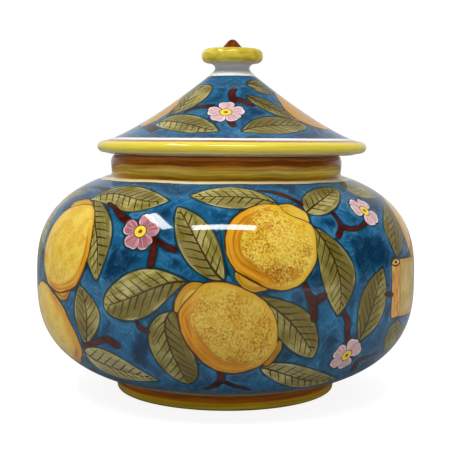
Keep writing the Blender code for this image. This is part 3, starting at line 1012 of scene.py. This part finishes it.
# Cobalt washed over the tin white in short dabs, each with its own way along the pot and its own
# load of colour: the eye sees bristle marks, deep blue in the open and pale blue round the motifs
def cobaltGround(add, place):
    near = add("Attribute", attribute_name="near").outputs["Fac"]
    swirl = add("TexNoise", place, Scale=1000 / 14, Detail=1.0).outputs["Color"]
    bend, stretch, middle = 0.012, 0.88, (0.0, 0.0, 0.08)    # m, a dab's share, and the pot's middle
    bent = add("VectorMath", "MULTIPLY_ADD", add("VectorMath", "SUBTRACT", swirl, (0.5, 0.5, 0.5)),
               (bend,) * 3, place)
    dab = add("TexVoronoi", bent, Scale=1000 / 9).outputs
    load = add("VectorMath", "SUBTRACT", dab["Color"], (0.5, 0.5, 0.5))
    loads = add("SeparateXYZ", load).outputs
    outwards = add("VectorMath", "SUBTRACT", dab["Position"], middle)
    way = add("VectorMath", "NORMALIZE", add("VectorMath", "CROSS_PRODUCT", outwards, load))
    offset = add("VectorMath", "SUBTRACT", bent, dab["Position"])
    drawn = add("Math", "MULTIPLY", add("VectorMath", "DOT_PRODUCT", offset, way).outputs["Value"], -stretch)
    offset = add("VectorMath", "MULTIPLY_ADD", way, drawn, offset)
    bristles = add("TexNoise", add("VectorMath", "MULTIPLY_ADD", offset, (1000 / 2.2,) * 3, dab["Color"]),
                   add("Math", "MULTIPLY", loads["X"], 40.0), noise_dimensions="4D", Scale=1.0, Roughness=0.6)
    wash = add("TexNoise", place, Scale=1000 / 24, Distortion=0.8)
    cloud = add("TexNoise", place, add("Math", "MULTIPLY", near, 0.16), noise_dimensions="4D",
                Scale=1000 / 12, Detail=4.0, Roughness=0.6, Distortion=0.9)
    openness = add("Math", "ADD", near, add("MapRange", wash, 0.3, 0.7, -7.0, 7.0))

    # The brush runs thin under the knob, under the neck and over the foot
    rise = add("SeparateXYZ", place).outputs["Z"]
    fromNeck = add("Math", "ABSOLUTE", add("Math", "SUBTRACT", rise, neckTop - pot["neckHeight"]))
    laden = add("Math", "MULTIPLY", add("MapRange", rise, crownTop - 0.018, crownTop - 0.004, 1.0, 0.25),
                add("MapRange", fromNeck, 0.003, 0.012, 0.55, 1.0))
    depth = add("Math", "MULTIPLY", laden,
                add("MapRange", openness, 0.0, 9.0, 0.0, 1.0, interpolation_type="SMOOTHSTEP"))
    pale = add("MapRange", depth, 0.2, 1.0, 1.0, 0.35)
    dark = add("Math", "MULTIPLY", laden, add("MapRange", near, 2.5, 8.0, 0.55, 1.0))
    halo = add("MapRange", near, 0.5, 3.0, 1.0, 0.0)
    blues = add("TexNoise", place, Scale=1000 / 15, Detail=1.0)
    greens = add("TexNoise", place, Scale=1000 / 21, Detail=1.0, Distortion=0.6)
    uneven = add("MapRange", add("TexNoise", place, Scale=1000 / 8, Detail=1.0), 0.35, 0.65, -0.25, 0.3)
    return layered(
        add, "#185881", ("#092e4a", depth, 0.0, 1.0, 1.0),
        ("#357ba6", cloud, 0.50, 0.68, 0.70, pale), ("#3a81aa", loads["Z"], 0.05, 0.45, 0.30, pale),
        ("#488bb2", bristles, 0.53, 0.68, 0.56, pale), ("#092945", cloud, 0.47, 0.34, 0.75, dark),
        ("#092945", loads["Z"], -0.05, -0.45, 0.42, dark), ("#092945", bristles, 0.46, 0.32, 0.55, dark),
        ("#4a96c6", rise, 0.036, 0.012, 0.55, add("MapRange", bristles, 0.36, 0.60, 0.35, 1.0)),
        ("#5092b8", blues, 0.50, 0.66, 0.5, halo), ("#0d4656", greens, 0.50, 0.62, 0.9, halo),
        ("#0c2a38", add("Math", "ADD", near, uneven), 1.0, 0.5, 0.92))


# Where cobalt ran over copper green at a leaf's edge: one dark teal stroke, streaked along
def deepTeal(add, place):
    streaks = add("TexNoise", add("VectorMath", "MULTIPLY", place, (1.0, 1.0, 0.35)), Scale=1000 / 3.5,
                  Detail=3.0, Roughness=0.6)
    return layered(add, "#0a3a5c", ("#1d6470", streaks, 0.36, 0.64, 1.0),
                   ("#12405e", motifSockets(add)[2], 1.0, 0.2, 0.5))


# Olive from copper and antimony, laid in thin streaks, and drawn over with a fine manganese brush:
# a pale and a dark half, and dark veins that swell and taper
def leafOlive(add, place):
    along, across, edge, length, width, tone = motifSockets(add)
    seed = add("Math", "MULTIPLY", tone, 37.0)
    beside, half = add("Math", "ABSOLUTE", across), add("Math", "GREATER_THAN", across, 0.0)
    sway = add("MapRange", add("TexNoise", place, Scale=1000 / 10, Detail=1.0), 0.0, 1.0, -1.3, 1.3)
    lean = add("MapRange", tone, 0.0, 1.0, 0.65, 1.25)
    slant = add("Math", "ADD", add("Math", "SUBTRACT", along, add("Math", "MULTIPLY", beside, lean)),
                add("Math", "MULTIPLY_ADD", half, 2.1, sway))

    # Streaks of the wide brush, along the leaf and along its veins
    dragged = add("CombineXYZ", add("Math", "MULTIPLY", along, 0.05), add("Math", "MULTIPLY", across, 0.62),
                  seed)
    streaks = add("TexNoise", dragged, Scale=1.0, Detail=4.0, Roughness=0.62)
    sideways = add("CombineXYZ", add("Math", "MULTIPLY", slant, 0.55), add("Math", "MULTIPLY", beside, 0.07),
                   seed)
    combed = add("TexNoise", sideways, Scale=1.0, Detail=3.0, Roughness=0.6)
    cloud = add("TexNoise", place, Scale=1000 / 13)
    darkSide = add("MapRange", across, -1.5, 3.0, 0.0, 0.66, interpolation_type="SMOOTHSTEP")

    # Veins: each one starts and stops where the brush happened to
    step = 5.4    # mm along the leaf
    ladder = add("Math", "DIVIDE", slant, step)
    number = add("Math", "ROUND", ladder)
    chance = add("TexWhiteNoise", add("CombineXYZ", number, half, seed))
    gap = add("Math", "MULTIPLY", add("Math", "ABSOLUTE", add("Math", "SUBTRACT", ladder, number)), step)
    wide = add("Math", "MULTIPLY", width, add("MapRange", chance, 0.0, 1.0, 0.26, 0.47))
    nib = add("Math", "MULTIPLY", add("MapRange", chance, 0.0, 1.0, 0.62, 0.32),
              add("MapRange", add("Math", "DIVIDE", beside, wide), 0.1, 1.0, 1.0, 0.35))
    vein = add("MapRange", add("Math", "SUBTRACT", gap, nib), 0.04, 0.26, 1.0, 0.0)
    begin = add("Math", "SUBTRACT", beside, add("MapRange", chance, 0.0, 1.0, -0.8, 1.1))
    for value, none, full in ((add("Math", "SUBTRACT", beside, wide), 0.3, -0.3), (begin, -0.2, 0.2),
                              (edge, 0.9, 1.6)):
        vein = add("Math", "MULTIPLY", vein, add("MapRange", value, none, full, 0.0, 1.0))
    share = add("Math", "DIVIDE", along, length)
    rib = add("Math", "SUBTRACT", add("Math", "ABSOLUTE", add("Math", "MULTIPLY_ADD", sway, 0.16, across)),
              add("MapRange", share, 0.0, 0.9, 0.60, 0.20))
    rib = add("Math", "MULTIPLY", add("MapRange", rib, 0.04, 0.26, 1.0, 0.0),
              add("Math", "LESS_THAN", share, 0.93))
    return layered(
        add, "#7c7132", ("#c3b76a", streaks, 0.38, 0.62, 1.0), ("#5f5629", combed, 0.50, 0.68, 0.62),
        ("#6f652a", cloud, 0.48, 0.68, 0.75), ("#c6bc7c", cloud, 0.46, 0.34, 0.65),
        ("#5f541e", darkSide, 0.0, 1.0, 1.0),
        ("#cdc79a", edge, 2.0, 0.6, 0.6, add("MapRange", cloud, 0.52, 0.42, 0.0, 1.0)),
        ("#5e5119", tone, 0.0, 1.4, 0.78, add("MapRange", streaks, 0.40, 0.58, 0.45, 1.30)),
        ("#d8cd92", tone, 0.12, 0.0, 0.75, add("MapRange", streaks, 0.40, 0.60, 0.5, 1.0)),
        ("#32210c", add("Math", "MAXIMUM", vein, rib), 0.0, 1.0, 0.92),
        ("#29301f", add("Math", "MULTIPLY_ADD", sway, 0.22, edge), 0.74, 0.42, 0.94))


# Antimony yellow shaded with iron ochre, then dabbed with a sponge: a dotted, brownish bloom in
# the middle of the fruit, and a wide ochre stroke round its shaded side
def lemonYellow(add, place):
    x, y, edge, size, way, load = motifSockets(add)
    towards = add("Math", "ADD", add("Math", "MULTIPLY", x, add("Math", "COSINE", way)),
                  add("Math", "MULTIPLY", y, add("Math", "SINE", way)))
    shade = add("Math", "DIVIDE", towards, size)
    strokes = add("TexNoise", add("VectorMath", "SCALE", place, Scale=1000 / 30),
                  add("Math", "MULTIPLY", edge, 0.75),
                  noise_dimensions="4D", Scale=1.0, Detail=3.0, Roughness=0.6)
    cloud = add("TexNoise", place, Scale=1000 / 15, Detail=3.0, Roughness=0.6)
    ragged = add("Math", "ADD", shade, add("MapRange", cloud, 0.3, 0.7, -0.4, 0.4))

    # The sponge's pores are about a millimetre: brown dots and pale dots between them
    grit = add("TexNoise", place, Scale=1000 / 1.4, Detail=3.0, Roughness=0.75)
    dabs = add("TexNoise", place, Scale=1000 / 12)
    beyond = add("Math", "MULTIPLY", add("MapRange", load, 0.0, 0.1, 0.8, 0.0),
                 add("MapRange", ragged, -0.05, -0.6, 0.0, 1.0))
    inside = add("MapRange", edge, add("Math", "MULTIPLY", size, 0.03), add("Math", "MULTIPLY", size, 0.1875),
                 0.0, 1.0)
    inside = add("Math", "MULTIPLY", inside,
                 add("Math", "MAXIMUM", add("MapRange", load, 0.05, 0.9, 0.05, 1.0), beyond))
    where = add("Math", "MULTIPLY", inside, add("MapRange", dabs, 0.34, 0.58, 0.35, 1.0))
    low = add("VectorMath", "LENGTH", add("CombineXYZ", x, add("Math", "MULTIPLY_ADD", size, 0.72, y)))
    low = add("Math", "DIVIDE", low.outputs["Value"], size)
    blot = add("Math", "MULTIPLY", add("Math", "COMPARE", load, 1.0, 0.1),
               add("MapRange", grit, 0.40, 0.52, 0.3, 1.0))

    # The shaded side: one wide ochre stroke inside the outline, then a browner one
    turned = add("MapRange", shade, -0.10, 0.55, 0.0, 1.0, interpolation_type="SMOOTHSTEP")
    reach = size
    for value, start, end, least, most in ((shade, 0.0, 1.0, 0.18, 0.40), (load, 0.3, 0.55, 0.55, 1.0),
                                           (strokes, 0.3, 0.7, 0.72, 1.2)):
        reach = add("Math", "MULTIPLY", reach, add("MapRange", value, start, end, least, most))
    past = add("Math", "SUBTRACT", edge, reach)
    ochre = add("Math", "MULTIPLY",
                add("Math", "MULTIPLY", turned, add("MapRange", past, 2.4, -1.8, 0.0, 1.0)),
                add("MapRange", strokes, 0.32, 0.54, 0.6, 1.0))
    wobble = add("MapRange", add("TexNoise", place, Scale=1000 / 9, Detail=1.0), 0.3, 0.7, -0.45, 0.35)
    pen = add("Math", "MULTIPLY_ADD", turned, -0.42, add("Math", "ADD", edge, wobble))
    return layered(
        add, "#d8ae30", ("#e8cc5a", cloud, 0.38, 0.60, 1.0), ("#cf931e", cloud, 0.54, 0.70, 0.7),
        ("#ae803e", load, 0.1, 0.0, 0.85, add("MapRange", ragged, -0.75, 0.0, 0.0, 1.0)),
        ("#a06c12", load, 1.0, 1.3, 0.30), ("#8c570e", grit, 0.47, 0.60, 0.92, where),
        ("#e4ca5c", grit, 0.46, 0.34, 0.6, where), ("#b4701a", dabs, 0.56, 0.68, 0.65, inside),
        ("#8e4c0c", low, 0.42, 0.10, 0.85, blot), ("#d2901f", ochre, 0.0, 1.0, 1.0),
        ("#a8610c", strokes, 0.50, 0.62, 0.85, ochre),
        ("#a8650f", add("Math", "ABSOLUTE", past), 1.7, 0.3, 0.62, turned,
         add("MapRange", load, 0.1, 0.6, 0.2, 1.0)),
        ("#c48a1a", edge, 3.2, 0.8, 0.8, add("MapRange", cloud, 0.40, 0.56, 0.3, 1.0),
         add("MapRange", load, 0.1, 0.4, 0.3, 1.0)),
        ("#9c660c", size, 45.0, 55.0, 1.0, add("MapRange", strokes, 0.38, 0.60, 0.30, 0.85),
         add("MapRange", load, 0.1, 0.8, 0.45, 1.35)),
        ("#3c200e", pen, 0.64, 0.34, 0.95))


# Manganese brown-red, one full brush stroke: nearly opaque, and darker where the brush was lifted
def twigUmber(add, place):
    streaks = add("TexNoise", place, Scale=1000 / 7)
    return layered(add, "#310c05", ("#562018", streaks, 0.38, 0.66, 1.0),
                   ("#331210", motifSockets(add)[2], 0.6, 0.25, 0.75))


# A pink wash that leaves the tin white at the petals' edges, with fine strokes from the eye
def petalWash(deepColour, paleColour, whiteEdge):
    def colourOf(add, place):
        along, across, edge, size, width, tone = motifSockets(add)
        fan = add("Math", "DIVIDE", across, add("Math", "ADD", along, 1.0))
        rays = add("CombineXYZ", add("Math", "MULTIPLY", fan, 9.0), add("Math", "MULTIPLY", along, 0.10),
                   add("Math", "MULTIPLY", tone, 30.0))
        rays = add("TexNoise", rays, Scale=1.0, Detail=3.0, Roughness=0.6)
        left = add("MapRange", add("TexNoise", place, Scale=1000 / 4.5, Detail=1.0), 0.44, 0.56, 0.2, 1.0)
        return layered(add, deepColour, (paleColour, rays, 0.38, 0.62, 1.0),
                       ("#f6ecec", add("Math", "MULTIPLY_ADD", rays, 1.6, edge), 0.9 + whiteEdge,
                        0.55 + whiteEdge * 0.5, 0.95, left), ("#4a1a20", edge, 0.50, 0.26, 0.92))
    return colourOf


# The flower's eye: a yellow drop with a brown ring and a brown touch in the middle
def blossomEye(add, place):
    x, y, edge = motifSockets(add)[:3]
    reach = add("Math", "ADD", add("VectorMath", "LENGTH", add("CombineXYZ", x, y)).outputs["Value"],
                add("MapRange", add("TexNoise", place, Scale=1000 / 1.8), 0.3, 0.7, -0.35, 0.35))
    return layered(add, "#d9982a", ("#ecd047", reach, 0.8, 2.2, 1.0), ("#5e3410", reach, 1.35, 0.75, 0.95),
                   ("#2c140a", edge, 0.66, 0.40, 0.95))


# The scroll's field: tin white under a thin yellow wash, cloudy, and browner at its edges
def scrollCream(add, place):
    edge = motifSockets(add)[2]
    cloud = add("TexNoise", place, Scale=1000 / 13, Detail=3.0, Roughness=0.6)
    return layered(add, "#b99a48", ("#ceb466", cloud, 0.38, 0.64, 1.0), ("#c98f36", edge, 5.0, 1.0, 0.75),
                   ("#4a2a12", edge, 0.6, 0.35, 0.92))


# The scroll's rolls: ochre drawn down in a few long streaks, so that they look round, and paler
# where the ring of a roll's end is drawn
def scrollRoll(add, place):
    x, y, edge, size, width, tone = motifSockets(add)
    drawn = add("CombineXYZ", add("Math", "MULTIPLY", x, 0.8), add("Math", "MULTIPLY", y, 0.10))
    ring = add("MapRange", tone, 0.6, 0.9, 0.0, 0.6)
    return layered(add, "#b97a2c",
                   ("#dfae5c", add("TexNoise", drawn, Scale=1.0, Detail=3.0), 0.40, 0.62, 1.0),
                   ("#d8b866", ring, 0.0, 1.0, 1.0),
                   ("#3a1a0c", add("Math", "SUBTRACT", edge, ring), 0.64, 0.36, 0.94))


# One colour that is mottled at a size in mm
def mottled(base, tint, size, detail, spread):
    def colourOf(add, place):
        noise = add("TexNoise", place, Scale=1000 / size, Detail=detail)
        return layered(add, base, (tint, noise, 0.5 - spread, 0.5 + spread, 1.0))
    return colourOf


# Bands that a loaded brush draws while the jar turns on the wheel: each starts at a run in mm and
# has two colours, and the way round is dragged out so that the bristles show
def wheelBands(bands, base, streakColour, waver):
    def colourOf(add, place):
        run = add("Attribute", attribute_name="run").outputs["Fac"]
        sway = add("MapRange", add("TexNoise", place, Scale=1000 / 22), 0.0, 1.0, -waver, waver)
        level = add("Math", "ADD", run, sway)
        bristles = add("TexNoise", add("VectorMath", "SCALE", place, Scale=1000 / 45),
                       add("Math", "MULTIPLY", level, 0.75), noise_dimensions="4D", Scale=1.0, Detail=4.0,
                       Roughness=0.65)
        layers = [(layered(add, first, (second, bristles, 0.38, 0.62, 1.0)), level, start - soft,
                   start + soft, 1.0)
                  for start, soft, first, second in bands]
        return layered(add, base, (streakColour, bristles, 0.40, 0.64, 0.8), *layers)
    return colourOf


# Yellow over white: the disc is streaked by the brush. The stem is white at its foot and grey above it, and
# that grey is painted shade under the disc
def knobYellow(add, place):
    height = add("SeparateXYZ", place).outputs["Z"]
    streaks = add("TexNoise", add("VectorMath", "MULTIPLY", place, (1.0, 1.0, 3.0)), Scale=1000 / 11,
                  Detail=3.0, Roughness=0.6)
    yellow = layered(add, "#bfa42a", ("#dfce50", streaks, 0.36, 0.64, 1.0))
    # painted shade: the upper stem turns grey where the disc shades it
    return layered(add, "#f2f3f5", ("#a6a8aa", height, crownTop + 0.0015, crownTop + 0.0036, 1.0),
                   (yellow, height, crownTop + 0.0079, crownTop + 0.0086, 1.0))


painting = {
    "ground": glazed("cobaltWashGlazedEarthenware", cobaltGround),
    "deep": glazed("deepTealStrokeGlaze", deepTeal),
    "leaf": glazed("olivePaintedGlaze", leafOlive),
    "lemon": glazed("antimonyYellowSpongedGlaze", lemonYellow),
    "twig": glazed("manganesePaintedGlaze", twigUmber),
    "rose": glazed("roseWashGlaze", petalWash("#92505a", "#c28a90", 1.0)),
    "pale": glazed("palePinkWashGlaze", petalWash("#bd9294", "#dcbcbc", 1.3)),
    "eye": glazed("yellowDropGlaze", blossomEye),
    "scroll": glazed("creamScrollGlaze", scrollCream),
    "roll": glazed("ochreScrollGlaze", scrollRoll),
}

# Tin glaze left white: opaque, faintly cream, with the slightest mottling
tinWhite = glazed("tinWhiteGlaze", mottled("#e9e8e4", "#f3f2ee", 8.0, 2.0, 0.15))

# Where the jar stands the glaze is wiped off: matt, grainy, brick-coloured earthenware
bareClay = glazed("bareFiredEarthenware", mottled("#a8663f", "#c98a5e", 0.9, 3.0, 0.2), 0.75)

# Iron in a thick drop of glaze: dark, glossy and a little cloudy
ironBrown = glazed("ironBrownGlaze", mottled("#572503", "#783b07", 3.0, 3.0, 0.15))
antimonyYellow = glazed("antimonyYellowGlaze", knobYellow)

# Ochre and yellow bands: the eye sees streaks that run round and fade into one another
crease, blueTop = potGlaze["crease"], potGlaze["zone"][1]
footPaint = glazed("wheelBandedFootGlaze", wheelBands([
    (crease - 8.4, 0.4, "#a89620", "#887e20"), (crease - 6.8, 0.7, "#be9218", "#98720e"),
    (crease - 4.3, 0.6, "#6c3a06", "#98560c"), (crease + 0.3, 0.3, "#7e4e10", "#a4701e"),
    (crease + 7.5, 1.0, "#a8823c", "#8c6a28"), (crease + 9.8, 0.5, "#f8ecc8", "#ecdcb2"),
], "#4e3c0c", "#5f4a10", 0.5))
# The neck's topmost band, at the lip, is darker than the brown band below it: painted shadow of the lid's
# rolled rim over the neck's brown
neckPaint = glazed("wheelBandedNeckGlaze", wheelBands([
    (blueTop + 1.0, 0.15, "#f2e8c4", "#e6d6a2"), (blueTop + 4.9, 0.6, "#ac7c06", "#7c4a00"),
    (blueTop + 9.9, 0.7, "#8e7a12", "#c8aa2c"), (blueTop + 13.7, 0.9, "#8e5e02", "#bc921c"),
    (blueTop + 16.0, 0.7, "#622c04", "#96580e"), (potGlaze["lip"] - 1.6, 0.5, "#54300e", "#7a4c1c"),
    (potGlaze["lip"] + 0.8, 0.3, "#e9e8e4", "#f3f2ee"),
], "#3a4038", "#363f40", 1.9))
rimTop = lidGlaze["rimTop"]
# Under the yellow, the rolled edge's lower side is grey-cream, darker than the tin white: painted shade under
# the roll
rimPaint = glazed("wheelBandedRimGlaze", wheelBands([
    (lidGlaze["belt"] - 3.6, 0.4, "#dfd04e", "#cfba3a"), (lidGlaze["belt"] + 0.8, 2.0, "#e6d452", "#d8c440"),
    (rimTop - 2.3, 0.7, "#b0702c", "#985824"), (rimTop + 2.7, 0.3, "#f2f1ee", "#eceae6"),
], "#d8cfae", "#c9bd92", 0.3))

potPaints = list(painting) + ["white", "bare", "foot", "neck"]
potMaterials = list(painting.values()) + [tinWhite, bareClay, footPaint, neckPaint]


def potPaintOf(run):
    if run < crease + pot["blueFoot"]:
        if np.interp(run, potGlaze["run"], potGlaze["z"]) < pot["wiped"]:
            return potPaints.index("bare")
        outside = radiusAt(potGlaze, run) > (pot["footRadius"] - pot["footWidth"] / 2) * 1000
        return potPaints.index("foot" if outside else "white")
    return potPaints.index("neck" if run < potGlaze["lip"] + 1.2 else "white")


potZones = [(0.0, potGlaze["zone"][0], potPaintOf), "painted",
            (potGlaze["zone"][1], potGlaze["run"][-1], potPaintOf)]
potSheet = sheetMesh("potSheet", potGlaze, potZones, bellyMotifs(potGlaze), potPaints)
paintedPot = wrappedPiece("paintedPot", potGlaze, potSheet, potMaterials)
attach(paintedPot, "jar")
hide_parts("jar_body")

lidPaints = list(painting) + ["white", "rim"]
lidMaterials = list(painting.values()) + [tinWhite, rimPaint]


def lidPaintOf(run):
    return lidPaints.index("rim" if lidGlaze["seat"] - 0.5 < run < lidGlaze["zone"][0] + 0.1 else "white")


lidZones = [(0.0, lidGlaze["zone"][0], lidPaintOf), "painted",
            (lidGlaze["zone"][1], lidGlaze["run"][-1], lidPaintOf)]
lidSheet = sheetMesh("lidSheet", lidGlaze, lidZones, tentMotifs(lidGlaze), lidPaints)
paintedLid = wrappedPiece("paintedLid", lidGlaze, lidSheet, lidMaterials)
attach(paintedLid, "lid")
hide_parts("lid_shell")

# Closer rows for the two small pieces, which have no painted zone
clay["rowStep"], clay["columns"] = 1.2, 144
for name, section, material, node, slot in (
        ("glazedKnob", knobGlaze, antimonyYellow, "lid_knob", "yellow_knob"),
        ("brownPellet", pelletGlaze, ironBrown, "knob_tip", "brown_tip")):
    sheet = sheetMesh(name + "Sheet", section, [(0.0, section["run"][-1], lambda run: 0)], [], ["plain"])
    piece = wrappedPiece(name, section, sheet, [material])
    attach(piece, "lid")
    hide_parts(node)
print("pieces: pot, lid, knob and pellet are on their bodies")


room = {
    "front": 0.18, "sides": 0.95,     # light that the room gives: dim behind the camera, white beside the jar
    "mirrorFront": 0.015, "mirrorBack": 0.62,    # and what the glaze mirrors of it
    "floorColour": ("#9c9c9c", "#949494"), "floorLift": 0.86,
    "fibre": 2.0,          # mm, the paper's mottling
}


# Where each lamp stands, the point it looks at, the way of its long side, its length and width in m,
# its watts, and whether the glaze mirrors it
lamps = {
    "longSoftbox": ((-0.02, -0.609, 1.163), (0, -0.115, 0.116), (1, 0, 0), 0.64, 0.155, 6.2, True),
    "sideStrip": ((-0.50, -0.25, 0.97), (-0.038, -0.107, 0.119), (0.035, -0.53, -0.08), 0.45, 0.105, 2.5, True),
    "lowPanelLeft": ((-0.72, -0.62, 0.14), (0, 0, 0.05), (0, 0, 1), 0.3, 0.5, 2.7, False),
    "lowPanelRight": ((0.72, -0.62, 0.14), (0, 0, 0.05), (0, 0, 1), 0.3, 0.5, 2.7, False),
    "topPanel": ((0.1, 0.35, 1.3), (0, 0, 0.1), (1, 0, 0), 1.2, 1.2, 3.2, False),
}


# Matt white paper with a faint mottling, seen a little brighter than the lamps make it
def buildFloor():
    size = 3.0
    mesh = bpy.data.meshes.new("paleFloor")
    mesh.from_pydata([(-size, -size, 0), (size, -size, 0), (size, size, 0), (-size, size, 0)], [],
                     [(0, 1, 2, 3)])
    floor = bpy.data.objects.new("paleFloor", mesh)
    bpy.context.scene.collection.objects.link(floor)
    material = bpy.data.materials.new("whiteStudioPaper")
    material.use_nodes = True
    tree = material.node_tree
    add, shader = partial(addNode, tree), tree.nodes["Principled BSDF"]
    fibre = add("TexNoise", add("TexCoord").outputs["Object"], Scale=1000 / room["fibre"])
    colour = add("Mix", "RGBA", fibre, *(linear(shade) for shade in room["floorColour"]))
    lift = add("Math", "MULTIPLY", add("LightPath").outputs["Is Camera Ray"], room["floorLift"])
    for socket, value in (("Base Color", colour), ("Roughness", 0.9), ("Emission Color", (1, 1, 1, 1)),
                          ("Emission Strength", lift)):
        fill(tree, shader.inputs[socket], value)
    mesh.materials.append(material)


# A white room: its walls light the jar from the sides, the glaze mirrors mostly the back of it,
# and the camera sees it as plain white
def buildWorld():
    world = bpy.data.worlds.new("whiteRoom")
    bpy.context.scene.world = world
    world.use_nodes = True
    world.node_tree.nodes.clear()
    add = partial(addNode, world.node_tree)
    path, way = add("LightPath").outputs, add("SeparateXYZ", add("TexCoord").outputs["Generated"]).outputs["Y"]
    given = add("MapRange", way, -0.7, 0.5, room["front"], room["sides"])
    mirror = add("MapRange", way, 0.30, 0.96, room["mirrorFront"], room["mirrorBack"])
    level = add("Mix", "FLOAT", path["Is Glossy Ray"], given, mirror)
    add("OutputWorld",
        add("Background", (1, 1, 1, 1), add("Mix", "FLOAT", path["Is Camera Ray"], level, 1.0)))


def softbox(name, place, aim, longWay, length, width, power, mirrored):
    light = bpy.data.lights.new(name, "AREA")
    light.shape, light.size, light.size_y = "RECTANGLE", length, width
    light.energy = power
    lamp = bpy.data.objects.new(name, light)
    back = (Vector(place) - Vector(aim)).normalized()
    across = back.cross(Vector(longWay)).normalized()
    lamp.matrix_world = (Matrix.Translation(place)
                         @ Matrix((across.cross(back), across, back)).transposed().to_4x4())
    bpy.context.scene.collection.objects.link(lamp)
    lamp.visible_glossy = mirrored


def buildCamera():
    data = bpy.data.cameras.new("studioCamera")
    data.sensor_width = 36.0
    data.lens = shot["focal"] / shot["picture"] * data.sensor_width
    data.shift_y = -shot["rise"] / shot["picture"]
    data.clip_end = 20.0
    camera = bpy.data.objects.new("studioCamera", data)
    tilt = Matrix.Rotation(math.radians(90 - shot["lookDown"]), 4, "X")
    camera.matrix_world = (Matrix.Translation((0, -shot["away"] / 1000, shot["height"] / 1000)) @ tilt
                           @ Matrix.Rotation(math.radians(shot["roll"]), 4, "Z"))
    bpy.context.scene.collection.objects.link(camera)
    bpy.context.scene.camera = camera


buildFloor()
buildWorld()
for name, values in lamps.items():
    softbox(name, *values)
buildCamera()
bpy.context.scene.view_settings.view_transform = "Standard"
print("room: floor, world, softboxes and camera are set")
